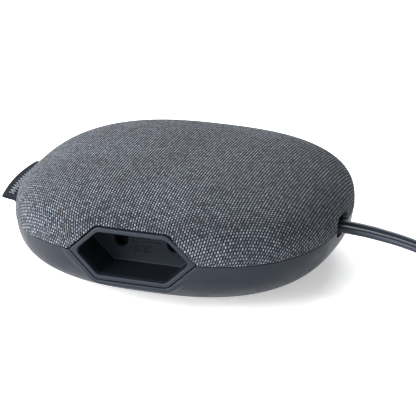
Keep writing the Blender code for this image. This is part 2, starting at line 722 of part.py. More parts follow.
def cord_clamp():
    x, y = CLAMP_SCREW
    foot_z, roof_z, top_z = FLEX_Z - FLEX_RADIUS, FLEX_Z + FLEX_RADIUS + GAP, 24.9 * MM
    low = (x - CLAMP_HALF_LENGTH, -CLAMP_HALF_WIDTH, foot_z)
    clamp = box("cord_clamp", low, (x + CLAMP_HALF_LENGTH, CLAMP_HALF_WIDTH, top_z), BLACK_PLASTIC)
    arch_low = (x - 10 * MM, -FLEX_WIDTH / 2 - GAP, foot_z - 5 * MM)
    arch = box("clamp_arch", arch_low, (x + 10 * MM, FLEX_WIDTH / 2 + GAP, roof_z), collection=CUTTERS)
    boolean(clamp, arch)
    for i, side in enumerate((-1, 1)):
        hole = cylinder(f"clamp_hole_{i}", (x, side * y, 10 * MM), (x, side * y, 30 * MM), 1.5 * MM, collection=CUTTERS, sides=12)
        boolean(clamp, hole)
        screw(f"clamp_screw_{i + 1}", x, side * y, top_z + GAP, 15.0 * MM, 1.1 * MM, 2.3 * MM)
    return clamp


def notch_ring(x, grow):
    outline = rounded_rectangle(NOTCH_HALF_WIDTH + grow, NOTCH_HALF_HEIGHT + grow, NOTCH_RADIUS + grow)
    return [Vector((x, y, NOTCH_Z + z)) for y, z in outline]


def cord_grommet():
    """The open-fronted cup that lines the flex's notch, with the flex coming through its floor."""
    rings = [
        notch_ring(GROMMET_BACK_X, 0.0),
        notch_ring(GROMMET_FRONT_X, 0.0),
        notch_ring(GROMMET_FRONT_X, -GROMMET_WALL),
        notch_ring(GROMMET_FLOOR_X, -GROMMET_WALL),
    ]
    grommet = loft("cord_grommet", rings, SHELL_GREY)
    start, end = (45 * MM, 0, FLEX_Z), (53 * MM, 0, FLEX_Z)
    boolean(grommet, cylinder("grommet_hole", start, end, FLEX_RADIUS + GAP, collection=CUTTERS))
    return grommet


def cut_openings(cloth, dome, base):
    """The socket and flex openings through the cloth, the shell under it and the base."""
    for facing, turn in SIDES:
        boolean(cloth, socket_cutter(f"cloth_opening_{facing}", 0.4 * MM, turn))
        wide = socket_cutter(f"shell_opening_{facing}", GAP, turn)
        boolean(dome, wide)
        boolean(base, wide)
    notch = loft("notch_cutter", [notch_ring(46 * MM, GAP), notch_ring(62 * MM, GAP)], collection=CUTTERS)
    for target in (cloth, dome, base):
        boolean(target, notch)


# ---------------------------------------------------------------- tag


TAG_HALF_LENGTH = 17.0 * MM
TAG_SLOT_Z = SEAM_Z - MM
TAG_THICKNESS = 0.9 * MM
TAG_LINE_MM = ((-51.0, 18.75), (-55.6, 18.75), (-57.1, 19.1), (-58.0, 20.0), (-59.4, 20.9), (-61.6, 21.6))


def label_tag():
    """A ribbon tag that comes out of the seam and bends up, as an open strip with Solidify."""
    mesh = bpy.data.meshes.new("label_tag")
    rows = len(TAG_LINE_MM)
    points = [(x * MM, y, z * MM) for y in (-TAG_HALF_LENGTH, TAG_HALF_LENGTH) for x, z in TAG_LINE_MM]
    mesh.from_pydata(points, [], [(i, i + 1, rows + i + 1, rows + i) for i in range(rows - 1)])
    tag = new_object("label_tag", mesh, TAG_CLOTH)
    thick = tag.modifiers.new("thickness", "SOLIDIFY")
    thick.thickness = TAG_THICKNESS
    thick.offset = 0.0
    return tag


# ---------------------------------------------------------------- flex, coil and plug


def flex():
    """The free flex down to the coil, and its last stretch from the coil's top to the plug."""
    route = smooth_route([Vector(point) * MM for point in FLEX_ROUTE_MM], 6.0 * MM)
    tube("cord", route, FLEX_RADIUS, FLEX_PVC, 2)
    rest_z = COIL_TOP + GAP + FLEX_RADIUS
    bend_x, bend_y = COIL_X + END_OFFSET, COIL_Y
    last = []
    turns = 12
    for i in range(turns + 1):
        angle = math.radians(-70 + 160 * i / turns)
        ease = (1 - math.cos(math.pi * max(0.0, i / turns - 0.3) / 0.7)) / 2
        z = rest_z + (PLUG_LIFT - rest_z) * ease
        last.append((bend_x + END_BEND * math.cos(angle), bend_y + END_BEND * math.sin(angle), z))
    tube("cord_end", last, FLEX_RADIUS, FLEX_PVC, 2)
    tube("cord_tail", [(FLEX_TAIL_END_X, 0, FLEX_Z), (FLEX_START_X - GAP, 0, FLEX_Z)], FLEX_RADIUS, FLEX_PVC, 2)


def cord_coil():
    """The outer shape of the wound flex: a ring of rounded section, turned about the coil's axis."""
    half_width, half_height = (COIL_OUTER - COIL_INNER) / 2, (COIL_TOP - COIL_BOTTOM) / 2
    section = rounded_rectangle(half_width, half_height, 2.5 * MM, 2)
    middle_r, middle_z = (COIL_OUTER + COIL_INNER) / 2, (COIL_TOP + COIL_BOTTOM) / 2
    turns = 36
    rings = []
    for i in range(turns):
        angle = 2 * math.pi * i / turns
        c, s = math.cos(angle), math.sin(angle)
        rings.append([
            Vector((COIL_X + (middle_r + r) * c, COIL_Y + (middle_r + r) * s, middle_z + z)) for r, z in section
        ])
    return loft("cord_coil", rings, FLEX_PVC, looped=True)


def coil_tie():
    """A strap round the coil's section."""
    clear = 0.45 * MM
    low_z, high_z = TIE_THICKNESS, COIL_TOP + clear
    inner_r, outer_r = COIL_INNER - clear, COIL_OUTER + clear
    thick = TIE_THICKNESS
    tie = box("coil_tie", (inner_r - thick, -TIE_HALF_WIDTH, 0.0), (outer_r + thick, TIE_HALF_WIDTH, high_z + thick), SILICONE)
    hole = box("tie_hole", (inner_r, -2 * TIE_HALF_WIDTH, low_z), (outer_r, 2 * TIE_HALF_WIDTH, high_z), collection=CUTTERS)
    boolean(tie, hole)
    for piece in (tie, hole):
        piece.location = (COIL_X, COIL_Y, 0.0)
        piece.rotation_euler = (0.0, 0.0, TIE_ANGLE)
    return tie


def plug():
    """The two-pin plug, lying on the coil. Its own frame has the pins along +X from the face at x = 0."""
    frame = bpy.data.objects.new("plug_frame", None)
    PARTS.objects.link(frame)
    behind = PLUG_BODY_LENGTH + PLUG_RELIEF_LENGTH + GAP
    frame.location = (COIL_X + END_OFFSET - behind, COIL_Y + END_BEND, PLUG_LIFT)
    frame.rotation_euler = (0.0, 0.0, math.pi)
    sections = (
        (0.0, PLUG_HALF_WIDTH - 0.6 * MM, PLUG_CORNER - 0.4 * MM, PLUG_HALF_HEIGHT - 0.5 * MM),
        (-0.6 * MM, PLUG_HALF_WIDTH, PLUG_CORNER, PLUG_HALF_HEIGHT),
        (-8.0 * MM, PLUG_HALF_WIDTH - 0.3 * MM, PLUG_CORNER, PLUG_HALF_HEIGHT),
        (-16.0 * MM, 13.0 * MM, 8.5 * MM, PLUG_HALF_HEIGHT - 0.8 * MM),
        (-PLUG_BODY_LENGTH, 7.0 * MM, 4.5 * MM, 4.2 * MM),
        (-PLUG_BODY_LENGTH - 1.5 * MM, 5.4 * MM, 3.2 * MM, 3.2 * MM),
        (-PLUG_BODY_LENGTH - PLUG_RELIEF_LENGTH, 4.2 * MM, 2.6 * MM, 2.4 * MM),
    )
    rings = []
    for x, tip, corner, height in sections:
        corners = [(tip, 0), (corner, height), (-corner, height), (-tip, 0), (-corner, -height), (corner, -height)]
        outline = rounded_outline(corners, [min(1.5 * MM, tip / 5)] * 6, 2)
        rings.append([Vector((x, y, z)) for y, z in outline])
    pieces = [loft("plug_body", rings, FLEX_PVC)]
    for word, side in (("left", 1), ("right", -1)):
        y = side * PIN_SPACING / 2
        inner = 1.5 * MM
        profile = [
            (0.0, PLUG_PIN_LENGTH),
            (1.2 * MM, PLUG_PIN_LENGTH - 0.2 * MM),
            (PIN_RADIUS, PLUG_PIN_LENGTH - 1.4 * MM),
            (PIN_RADIUS, PLUG_SLEEVE_LENGTH + GAP),
            (inner, PLUG_SLEEVE_LENGTH + GAP),
            (inner, GAP),
            (0.0, GAP),
        ]
        pin = turned(f"plug_pin_{word}", profile, BRASS, 12)
        ring = [(PIN_RADIUS, PLUG_SLEEVE_LENGTH), (PIN_RADIUS, GAP), (inner + 0.2 * MM, GAP), (inner + 0.2 * MM, PLUG_SLEEVE_LENGTH)]
        sleeve = turned(f"plug_sleeve_{word}", [*ring, ring[0]], BLACK_PLASTIC, 12)
        for piece in (pin, sleeve):
            piece.location = (0.0, y, 0.0)
            piece.rotation_euler = (0.0, math.pi / 2, 0.0)
            pieces.append(piece)
    for piece in pieces:
        piece.parent = frame


# ---------------------------------------------------------------- assembly


SIDES = (("front", 0.0), ("rear", math.pi))

cover = fabric_cover()
dome_shell = top_shell()
lower_shell = base_shell()
cut_openings(cover, dome_shell, lower_shell)
foot_pad()
for facing_word, side_turn in SIDES:
    socket(facing_word, side_turn)
base_screws()
busbar("live", PIN_SPACING / 2)
busbar("neutral", -PIN_SPACING / 2)
core_wires()
cord_clamp()
cord_grommet()
label_tag()
flex()
cord_coil()
coil_tie()
plug()
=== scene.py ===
import json
import math

import bmesh
import bpy
import numpy as np
from mathutils import Matrix, Vector


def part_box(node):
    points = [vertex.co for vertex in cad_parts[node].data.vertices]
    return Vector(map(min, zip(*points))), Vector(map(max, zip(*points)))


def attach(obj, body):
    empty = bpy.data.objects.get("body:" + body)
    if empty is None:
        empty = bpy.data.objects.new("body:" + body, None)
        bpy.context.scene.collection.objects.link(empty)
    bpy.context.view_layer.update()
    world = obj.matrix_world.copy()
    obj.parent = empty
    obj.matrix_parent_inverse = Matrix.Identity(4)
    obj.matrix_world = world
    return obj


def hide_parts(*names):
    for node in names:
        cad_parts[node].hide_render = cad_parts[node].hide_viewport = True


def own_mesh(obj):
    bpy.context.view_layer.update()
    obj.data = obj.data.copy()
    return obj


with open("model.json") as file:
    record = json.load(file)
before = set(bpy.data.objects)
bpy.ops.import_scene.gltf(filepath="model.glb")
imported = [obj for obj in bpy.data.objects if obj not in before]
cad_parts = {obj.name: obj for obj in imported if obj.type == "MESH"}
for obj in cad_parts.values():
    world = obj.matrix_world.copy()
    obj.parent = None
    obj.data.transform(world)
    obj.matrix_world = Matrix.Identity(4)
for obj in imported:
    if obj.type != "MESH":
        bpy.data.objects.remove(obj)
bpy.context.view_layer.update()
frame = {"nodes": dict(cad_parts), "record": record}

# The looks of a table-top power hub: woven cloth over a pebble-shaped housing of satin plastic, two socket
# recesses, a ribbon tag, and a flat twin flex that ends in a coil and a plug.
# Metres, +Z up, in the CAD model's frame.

MM = 0.001

# The pebble, as in the CAD model: a superellipse at every height, with a superelliptic upright section.
HALF_X = 56.0 * MM
HALF_Y = 51.25 * MM
HEIGHT = 40.5 * MM
WIDEST_Z = 21.0 * MM
SINK = 2.0 * MM
PLAN_POWER = 2.62
DOME_POWER = 2.65
BASE_POWER = 2.70

SEAM_Z = 19.0 * MM
CLOTH_EDGE_Z = SEAM_Z + 0.12 * MM
CLOTH_FOLD = 0.45 * MM
CLOTH_TUCK = 3.2 * MM
CLOTH_TURNED_IN = 2.6 * MM  # how much of a skin turns in at an opening
BASE_INSET = 0.3 * MM
BASE_EDGE = 0.3 * MM
BASE_TURNED_IN = 3.0 * MM
UNDERSIDE_Z = 1.5 * MM
MEAN_RADIUS = 53.0 * MM

# The sockets, as they face -Y.
SOCKET_X = -1.3 * MM
SOCKET_Z = 19.25 * MM
CONTACT_Z = 18.85 * MM
BEZEL_TIP = 22.3 * MM
BEZEL_CORNER = 12.6 * MM
BEZEL_HALF_HEIGHT = 9.15 * MM
BEZEL_Y = 50.2 * MM
BEZEL_SAG = 1.1 * MM
BEZEL_GAP = 0.42 * MM
RIM_WIDTH = 1.55 * MM
FLANGE_DEPTH = 2.4 * MM
RECESS_Y = 34.3 * MM
CUP_BACK_Y = 32.5 * MM
PIN_SPACING = 19.0 * MM
PIN_HOLE_RADIUS = 2.4 * MM
SIDES = (("front", 0.0), ("rear", math.pi))

# The flex's notch at +X.
NOTCH_Z = 19.8 * MM
NOTCH_HALF_WIDTH = 5.3 * MM
NOTCH_HALF_HEIGHT = 3.3 * MM
NOTCH_RADIUS = 2.4 * MM
NOTCH_GAP = 0.15 * MM

# The flex: a flat twin, drawn as two round cores joined by a web.
FLEX_WIDTH = 6.0 * MM
FLEX_THICKNESS = 3.0 * MM
FLEX_STEP = 2.0 * MM
EXIT_LEAN = math.radians(9)  # how far the flex is turned about its own line, at the notch and further on
FREE_LEAN = math.radians(-3)
LEAN_X = (56.0 * MM, 85.0 * MM)
ON_EDGE_X = 84.0 * MM  # where it starts to roll on edge
FLEX_EXIT = (55.0 * MM, 0.0, 19.35 * MM)
FLEX_ROUTE_MM = (
    (50.0, 0.0, 19.4), (53.0, 0.0, 19.4), (56.0, 0.0, 19.3), (60.0, 0.0, 19.0), (65.0, -0.1, 18.6),
    (70.0, -0.4, 18.0), (76.0, -0.9, 17.2), (82.0, -1.6, 16.1), (88.0, -2.4, 14.6), (95.0, -3.5, 12.3),
    (102.0, -4.6, 9.6), (108.0, -5.4, 7.2), (114.0, -6.0, 5.2),
)
COIL_X = 125.0 * MM
COIL_Y = 36.0 * MM
COIL_START = math.radians(-84)
COIL_OUTER = 38.6 * MM
COIL_PITCH = 3.7 * MM
COIL_TURNS = 2.8
COIL_SETTLE = 3.2 * MM  # how far outside its turn the flex comes in
COIL_SETTLE_TURNS = 0.2
COIL_LOW_Z = 3.8 * MM
COIL_HIGH_Z = 9.95 * MM
END_BEND = 24.0 * MM
END_OFFSET = 9.0 * MM
END_LIFT = 0.75 * MM
PLUG_Z = 20.35 * MM

# The weave: light warp yarns run along Y, and dark, thinner weft yarns along X.
WARP_PITCH = 0.93 * MM
WEFT_PITCH = 0.515 * MM
WALL_STRETCH = 0.8  # cloth length over surface height, on the dome's walls

FINE = 1.0
CLOTH_SPACING = 0.3 * MM / FINE
BASE_SPACING = 0.36 * MM / FINE


# ------------------------ camera, light and floor

VIEW_AZIMUTH = math.radians(19.3)
VIEW_ELEVATION = math.radians(21.3)
VIEW_DISTANCE = 1.027
VIEW_AIM = Vector((0.0, 0.0, 20.0 * MM))
VIEW_RIGHT = 7.49 * MM
VIEW_UP = -1.24 * MM
LENS = 259.6


def new_object(name, data):
    made = bpy.data.objects.new(name, data)
    bpy.context.scene.collection.objects.link(made)
    return made


def add_camera():
    data = bpy.data.cameras.new("camera")
    data.lens = LENS
    data.sensor_width = 36.0
    data.clip_end = 20.0
    camera = new_object("camera", data)
    level = math.cos(VIEW_ELEVATION)
    back = Vector((
        math.sin(VIEW_AZIMUTH) * level,
        -math.cos(VIEW_AZIMUTH) * level,
        math.sin(VIEW_ELEVATION),
    ))
    turn = back.to_track_quat("Z", "Y")
    right = turn @ Vector((1, 0, 0))
    up = turn @ Vector((0, 1, 0))
    camera.rotation_mode = "QUATERNION"
    camera.rotation_quaternion = turn
    camera.location = VIEW_AIM + right * VIEW_RIGHT + up * VIEW_UP + back * VIEW_DISTANCE
    bpy.context.scene.camera = camera


LIGHTS = (
    ("key", (-0.78, -1.08, 0.5), (0.9, 0.9), 39.0),
    ("left", (-1.3, 0.1, 0.35), (1.1, 0.6), 13.0),
    ("back", (-0.3, 1.0, 1.2), (1.4, 1.0), 30.5),
    ("front", (0.35, -1.3, 0.35), (1.0, 0.6), 4.0),
)


def area_light(name, place, size, power):
    """A rectangular light that faces the hub. Its power is in watts."""
    data = bpy.data.lights.new(name, "AREA")
    data.shape = "RECTANGLE"
    data.size, data.size_y = size
    data.energy = power
    light = new_object(name, data)
    light.location = place
    light.rotation_mode = "QUATERNION"
    light.rotation_quaternion = (Vector(place) - VIEW_AIM).to_track_quat("Z", "Y")


def add_studio():
    world = bpy.data.worlds.new("studio")
    bpy.context.scene.world = world
    world.use_nodes = True
    sky = world.node_tree.nodes["Background"].inputs
    sky["Color"].default_value = (0.96, 0.98, 1.0, 1.0)
    sky["Strength"].default_value = 0.25
    for settings in LIGHTS:
        area_light(*settings)
    bpy.ops.mesh.primitive_plane_add(size=30.0, location=(0.0, 0.0, 0.0))
    floor = bpy.context.object
    floor.name = "floor"
    floor.data.materials.append(floor_material())
    bpy.context.scene.view_settings.view_transform = "Standard"
    bpy.context.scene.cycles.filter_width = 1.35


# ------------------------ material helpers


class Shader:
    """A material's node tree, built by short calls. A value is a number, a colour or a node's output."""

    def __init__(self, name):
        self.material = bpy.data.materials.new(name)
        self.material.use_nodes = True
        self.tree = self.material.node_tree
        self.principled = self.tree.nodes["Principled BSDF"]

    def node(self, kind, values=(), **settings):
        made = self.tree.nodes.new("ShaderNode" + kind)
        for key, value in settings.items():
            setattr(made, key, value)
        for key, value in dict(values).items():
            self.put(made.inputs[key], value)
        return made

    def put(self, socket, value):
        if isinstance(value, bpy.types.NodeSocket):
            self.tree.links.new(value, socket)
        elif isinstance(value, tuple) and len(value) == 3 and len(socket.default_value) == 4:
            socket.default_value = (*value, 1.0)
        else:
            socket.default_value = value

    def maths(self, operation, *values):
        return self.node("Math", enumerate(values), operation=operation).outputs[0]

    def times(self, first, second):
        return self.maths("MULTIPLY", first, second)

    def remap(self, value, low, high, to_low=0.0, to_high=1.0):
        values = {"Value": value, "From Min": low, "From Max": high, "To Min": to_low, "To Max": to_high}
        return self.node("MapRange", values, interpolation_type="SMOOTHSTEP").outputs[0]

    def mix(self, share, first, second):
        return self.node("Mix", {0: share, 6: first, 7: second}, data_type="RGBA").outputs[2]

    def place(self):
        return self.node("TexCoord").outputs["Object"]

    def split(self, vector):
        return self.node("SeparateXYZ", {0: vector}).outputs

    def flat_vector(self, x, y):
        return self.node("CombineXYZ", {0: x, 1: y}).outputs[0]

    def weave_place(self):
        """The piece's own cloth coordinates: across and along."""
        where = self.split(self.node("UVMap", uv_map="weave").outputs[0])
        return where[0], where[1]

    def stretched(self, vector, scale):
        return self.node("Mapping", {"Vector": vector, "Scale": scale}).outputs[0]

    def noise(self, vector, scale, detail=2.0, roughness=0.5):
        values = {"Vector": vector, "Scale": scale, "Detail": detail, "Roughness": roughness}
        return self.node("TexNoise", values).outputs["Fac"]

    def bump(self, height, distance):
        return self.node("Bump", {"Height": height, "Distance": distance, "Strength": 1.0}).outputs[0]

    def finish(self, **inputs):
        for key, value in inputs.items():
            title = key.replace("_", " ").title().replace("Ior", "IOR")
            self.put(self.principled.inputs[title], value)
        return self.material


def floor_material():
    shader = Shader("floor_white")
    tint = shader.mix(shader.noise(shader.place(), 3.0), (0.93, 0.93, 0.93), (0.95, 0.95, 0.95))
    return shader.finish(
        base_color=tint,
        roughness=0.9,
        emission_color=(1.0, 1.0, 1.0),
        emission_strength=0.42,
    )


def moulded(name, colour, roughness=0.45, gloss=0.2, grain=0.02 * MM, grain_size=0.35 * MM, recess=None):
    """A moulded plastic or rubber: a fine eroded grain, faint flow marks, and rubbed patches.

    recess is the share of its colour and gloss that a socket keeps deep inside: painted shade, which darkens
    and dulls the plastic inside the recess, where the real shade falls.
    """
    shader = Shader(name)
    place = shader.place()
    cloud = shader.noise(place, 60.0, 3.0)
    fine = shader.noise(place, 1.0 / grain_size, 3.0, 0.6)
    lighter = tuple(min(1.0, c * 1.12 + 0.002) for c in colour)
    darker = tuple(c * 0.90 for c in colour)
    tint = shader.mix(cloud, darker, lighter)
    rough = shader.remap(shader.noise(place, 140.0, 4.0), 0.3, 0.7, roughness - 0.05, roughness + 0.05)
    # Painted shade: deeper than the bezel's rim, the colour and the gloss are scaled down by the recess
    # share.
    if recess is not None:
        out = shader.maths("ABSOLUTE", shader.split(place)[1])
        rim = shader.remap(out, BEZEL_Y - 3.2 * MM, BEZEL_Y - 1.6 * MM)
        tint = shader.mix(rim, tuple(c * recess for c in colour), tint)
        gloss = shader.remap(rim, 0.0, 1.0, gloss * recess, gloss)
    return shader.finish(
        base_color=tint,
        roughness=rough,
        specular_ior_level=gloss,
        specular_tint=(0.78, 0.89, 1.0),
        normal=shader.bump(fine, grain),
    )


def rolled_metal(name, colour, roughness):
    """A bright metal with fine drawn lines along one axis and a slight tarnish."""
    shader = Shader(name)
    place = shader.place()
    lines = shader.noise(shader.stretched(place, (0.06, 1.0, 1.0)), 6000.0, 2.0)
    tarnish = shader.noise(place, 220.0, 4.0)
    darker = tuple(c * 0.72 for c in colour)
    tint = shader.mix(shader.remap(tarnish, 0.35, 0.75), colour, darker)
    rough = shader.remap(lines, 0.3, 0.7, roughness - 0.08, roughness + 0.1)
    relief = shader.bump(lines, 0.004 * MM)
    return shader.finish(base_color=tint, metallic=1.0, roughness=rough, normal=relief)


# ------------------------ the cloth's material

WARP_LIGHT = (0.214, 0.237, 0.279)
WARP_DARK = (0.034, 0.039, 0.050)
WEFT_LIGHT = (0.100, 0.112, 0.138)
WEFT_DARK = (0.020, 0.024, 0.034)


def woven_cloth():
    """Plain weave: its "weave" coordinates count warp yarns across and weft yarns along."""
    shader = Shader("woven_cloth")
    m, times = shader.maths, shader.times
    across, along = shader.weave_place()
    warp, weft = m("FLOOR", across), m("FLOOR", along)
    over = m("COSINE", times(math.pi, m("ADD", warp, m("SUBTRACT", along, 0.5))))
    under = m("COSINE", times(math.pi, m("ADD", weft, m("ADD", across, 0.5))))

    def yarn_round(place, narrowness):
        side = times(narrowness, m("SUBTRACT", m("FRACT", place), 0.5))
        return m("SQRT", m("MAXIMUM", 0.0, m("SUBTRACT", 1.0, times(side, side))))

    def flecks(x, y, detail, roughness):
        return shader.noise(shader.flat_vector(x, y), 1.0, detail, roughness)

    warp_round = yarn_round(across, 2.7)
    weft_round = yarn_round(along, 2.1)
    warp_height = m("MULTIPLY_ADD", over, 0.42, times(warp_round, 0.75))
    weft_height = m("MULTIPLY_ADD", under, 0.34, times(weft_round, 0.45))
    height = m("MAXIMUM", warp_height, weft_height)
    is_warp = shader.remap(m("SUBTRACT", warp_height, weft_height), -0.05, 0.05)

    warp_fleck = flecks(times(warp, 3.17), times(along, 0.33), 3.0, 0.8)
    weft_fleck = flecks(times(across, 0.6), times(weft, 5.3), 2.0, 0.7)
    fibre = flecks(times(across, 9.0), times(along, 2.2), 2.0, 0.6)

    warp_tint = shader.mix(shader.remap(warp_fleck, 0.36, 0.66), WARP_DARK, WARP_LIGHT)
    weft_tint = shader.mix(shader.remap(weft_fleck, 0.35, 0.75), WEFT_DARK, WEFT_LIGHT)
    tint = shader.mix(is_warp, weft_tint, warp_tint)
    # Painted shade and light: the weave is painted darker where its yarns lie low, and lighter on their
    # crowns.
    painted_relief_shade = shader.remap(height, 0.2, 1.05, 0.10, 1.12)

    # Painted shade and light: the gaps between the warp yarns are painted darker and the yarns' crowns
    # lighter, and more so towards the dome's top.
    top = shader.remap(shader.split(shader.place())[2], 30 * MM, 39.5 * MM)
    gap_edge = shader.remap(top, 0.0, 1.0, 0.0, 0.35)
    gap_shade = shader.remap(top, 0.0, 1.0, 0.20, 0.0)
    painted_crown_light = shader.remap(top, 0.0, 1.0, 1.02, 1.34)
    painted_lane_shade = shader.remap(warp_round, gap_edge, 1.0, gap_shade, painted_crown_light)
    shade = times(times(painted_relief_shade, painted_lane_shade), shader.remap(fibre, 0.25, 0.75, 0.78, 1.22))
    patches = shader.remap(shader.noise(shader.place(), 38.0, 3.0, 0.6), 0.3, 0.7, 0.86, 1.14)
    shade = times(shade, patches)
    grey = shader.node("CombineColor", {0: shade, 1: shade, 2: shade}).outputs[0]
    shaded = shader.node("Mix", {0: 1.0, 6: tint, 7: grey}, data_type="RGBA", blend_type="MULTIPLY")

    relief = m("MULTIPLY_ADD", fibre, 0.12, height)
    return shader.finish(
        base_color=shaded.outputs[2],
        roughness=0.92,
        specular_ior_level=0.2,
        sheen_weight=0.04,
        sheen_roughness=0.5,
        normal=shader.bump(relief, 0.20 * MM),
    )


RIBBON_CELL = 2.1
RIBBON_BAND = 2.9  # the row's middle, from the folded edge
RIBBON_HEIGHT = 1.35
RIBBON_GROUND = ((0.007, 0.009, 0.014), (0.019, 0.023, 0.033))
RIBBON_LIGHT = ((0.19, 0.205, 0.235), (0.34, 0.36, 0.40))


def ribbon_material():
    """A tightly woven ribbon with one light row of diamonds. Its "weave" coordinates are in millimetres."""
    shader = Shader("woven_ribbon")
    m, times = shader.maths, shader.times
    along, across = shader.weave_place()
    ribs = m("SINE", times(along, 2 * math.pi / 0.45))
    cross = m("SINE", times(across, 2 * math.pi / 0.5))
    height = times(m("ADD", ribs, 1.2), m("ADD", cross, 1.2))
    cell = m("ABSOLUTE", m("SUBTRACT", m("FRACT", times(along, 1 / RIBBON_CELL)), 0.5))
    row = m("ABSOLUTE", m("DIVIDE", m("SUBTRACT", across, RIBBON_BAND), RIBBON_HEIGHT))
    diamond = m("ADD", times(cell, 2.0), row)
    ring = times(m("LESS_THAN", diamond, 0.95), m("GREATER_THAN", diamond, 0.36))
    band = times(ring, m("LESS_THAN", m("ABSOLUTE", along), 14.0))
    fibres = shader.noise(shader.stretched(shader.place(), (1.0, 0.4, 1.0)), 2500.0)
    thread = shader.remap(fibres, 0.3, 0.7)
    tint = shader.mix(band, shader.mix(thread, *RIBBON_GROUND), shader.mix(thread, *RIBBON_LIGHT))
    relief = shader.bump(height, 0.02 * MM)
    return shader.finish(base_color=tint, roughness=0.8, specular_ior_level=0.12, normal=relief)


# ------------------------ mesh helpers


def mesh_object(name, points, faces, finish, sharp=None):
    mesh = bpy.data.meshes.new(name)
    mesh.from_pydata([tuple(p) for p in points], [], [tuple(f) for f in faces])
    mesh.validate()
    return dressed(name, mesh, finish, sharp)


def dressed(name, mesh, finish, sharp=None):
    """A smooth-shaded object of the mesh, with sharp edges past an angle in degrees."""
    made = new_object(name, mesh)
    mesh.materials.append(finish)
    mesh.shade_smooth()
    if sharp is not None:
        mesh.set_sharp_from_angle(angle=math.radians(sharp))
    return made


def outward(mesh):
    shape = bmesh.new()
    shape.from_mesh(mesh)
    bmesh.ops.recalc_face_normals(shape, faces=shape.faces)
    shape.to_mesh(mesh)
    shape.free()


def ring_loft(name, rings, finish, sharp, closed_ends=True, looped=False):
    """A skin through rings of equally many points, with its faces turned outward."""
    rings = [np.asarray(ring, float) for ring in rings]
    count = len(rings[0])
    points = np.vstack(rings)
    faces = []
    pairs = [(i, i + 1) for i in range(len(rings) - 1)]
    if looped:
        pairs.append((len(rings) - 1, 0))
    for lower, upper in pairs:
        for k in range(count):
            n = (k + 1) % count
            faces.append((lower * count + k, lower * count + n, upper * count + n, upper * count + k))
    if closed_ends and not looped:
        faces.append(tuple(range(count)))
        faces.append(tuple(range((len(rings) - 1) * count, len(rings) * count)))
    made = mesh_object(name, points, faces, finish, sharp)
    outward(made.data)
    return made


def rounded_outline(corners, radii, steps):
    """The (across, up) points of a convex outline, counter-clockwise, with an arc for each corner."""
    outline = []
    count = len(corners)
    for i, radius in enumerate(radii):
        corner = Vector(corners[i])
        back = (Vector(corners[i - 1]) - corner).normalized()
        ahead = (Vector(corners[(i + 1) % count]) - corner).normalized()
        half = back.angle(ahead) / 2
        middle = corner + (back + ahead).normalized() * (radius / math.sin(half))
        arm = corner + back * (radius / math.tan(half)) - middle
        sweep = math.pi - 2 * half
        for step in range(steps + 1):
            c, s = math.cos(sweep * step / steps), math.sin(sweep * step / steps)
            outline.append((middle.x + arm.x * c - arm.y * s, middle.y + arm.x * s + arm.y * c))
    return outline


def rounded_rectangle(half_width, half_height, radius, steps=6):
    w, h = half_width, half_height
    return rounded_outline([(w, h), (-w, h), (-w, -h), (w, -h)], [radius] * 4, steps)


def divided(outline, spacing):
    """The outline's points and more on its straight runs, so that they are at most the spacing apart."""
    points = []
    for start, end in zip(outline, outline[1:] + outline[:1]):
        steps = max(1, math.ceil(math.dist(start, end) / spacing))
        for step in range(steps):
            t = step / steps
            points.append((start[0] + (end[0] - start[0]) * t, start[1] + (end[1] - start[1]) * t))
    return points


def hexagon_corners(tip, corner, height):
    """A long hexagon's corners, from half its width at its tips and at its corners, and half its height."""
    half = [(tip, 0), (corner, height), (-corner, height)]
    return half + [(-x, -z) for x, z in half]


def hexagon(grow, tip_radius, corner_radius, steps=8):
    """The bezel's hexagon, moved outwards by grow, as (x, z) points about the socket's middle."""
    slope = (BEZEL_TIP - BEZEL_CORNER) / BEZEL_HALF_HEIGHT
    height = BEZEL_HALF_HEIGHT + grow
    tip = BEZEL_TIP + grow * math.hypot(1.0, slope)
    corner = tip - height * slope
    radii = [tip_radius, corner_radius, corner_radius] * 2
    return rounded_outline(hexagon_corners(tip, corner, height), radii, steps)


def nearest_on_outline(points, outline):
    """Each (across, up) point's signed distance outside the closed outline, and the nearest outline point."""
    points = np.asarray(points, float)
    start = np.asarray(outline, float)
    run = np.roll(start, -1, axis=0) - start
    length = np.maximum((run**2).sum(1), 1e-18)
    best = np.full(len(points), np.inf)
    foot = np.zeros_like(points)
    inside = np.ones(len(points), bool)
    for a, r, l in zip(start, run, length):
        away = points - a
        t = np.clip(away @ r / l, 0, 1)[:, None]
        spot = a + t * r
        distance = np.hypot(*(points - spot).T)
        closer = distance < best
        best = np.where(closer, distance, best)
        foot[closer] = spot[closer]
        inside &= r[0] * away[:, 1] - r[1] * away[:, 0] >= 0
    return np.where(inside, -best, best), foot


def set_in_socket(made, turn):
    """Moves a mesh made about x = 0 to the front socket's middle, or, turned by pi, to the rear socket's."""
    made.data.transform(Matrix.Rotation(turn, 4, "Z") @ Matrix.Translation((SOCKET_X, 0.0, 0.0)))


def smooth_route(points, spacing):
    """Points about the spacing apart on a smooth (Catmull-Rom) curve through the given points."""
    points = [np.asarray(p, float) for p in points]
    padded = [2 * points[0] - points[1], *points, 2 * points[-1] - points[-2]]
    route = [points[0]]
    for before, start, end, after in zip(padded, padded[1:], padded[2:], padded[3:]):
        steps = max(1, round(float(np.linalg.norm(end - start)) / spacing))
        for step in range(1, steps + 1):
            t = step / steps
            square = (2 * before - 5 * start + 4 * end - after) * t**2
            cube = (3 * start - before - 3 * end + after) * t**3
            route.append(0.5 * (2 * start + (end - before) * t + square + cube))
    return route


def smoothstep(t):
    t = np.clip(t, 0.0, 1.0)
    return t * t * (3 - 2 * t)


# ------------------------ the pebble's surface


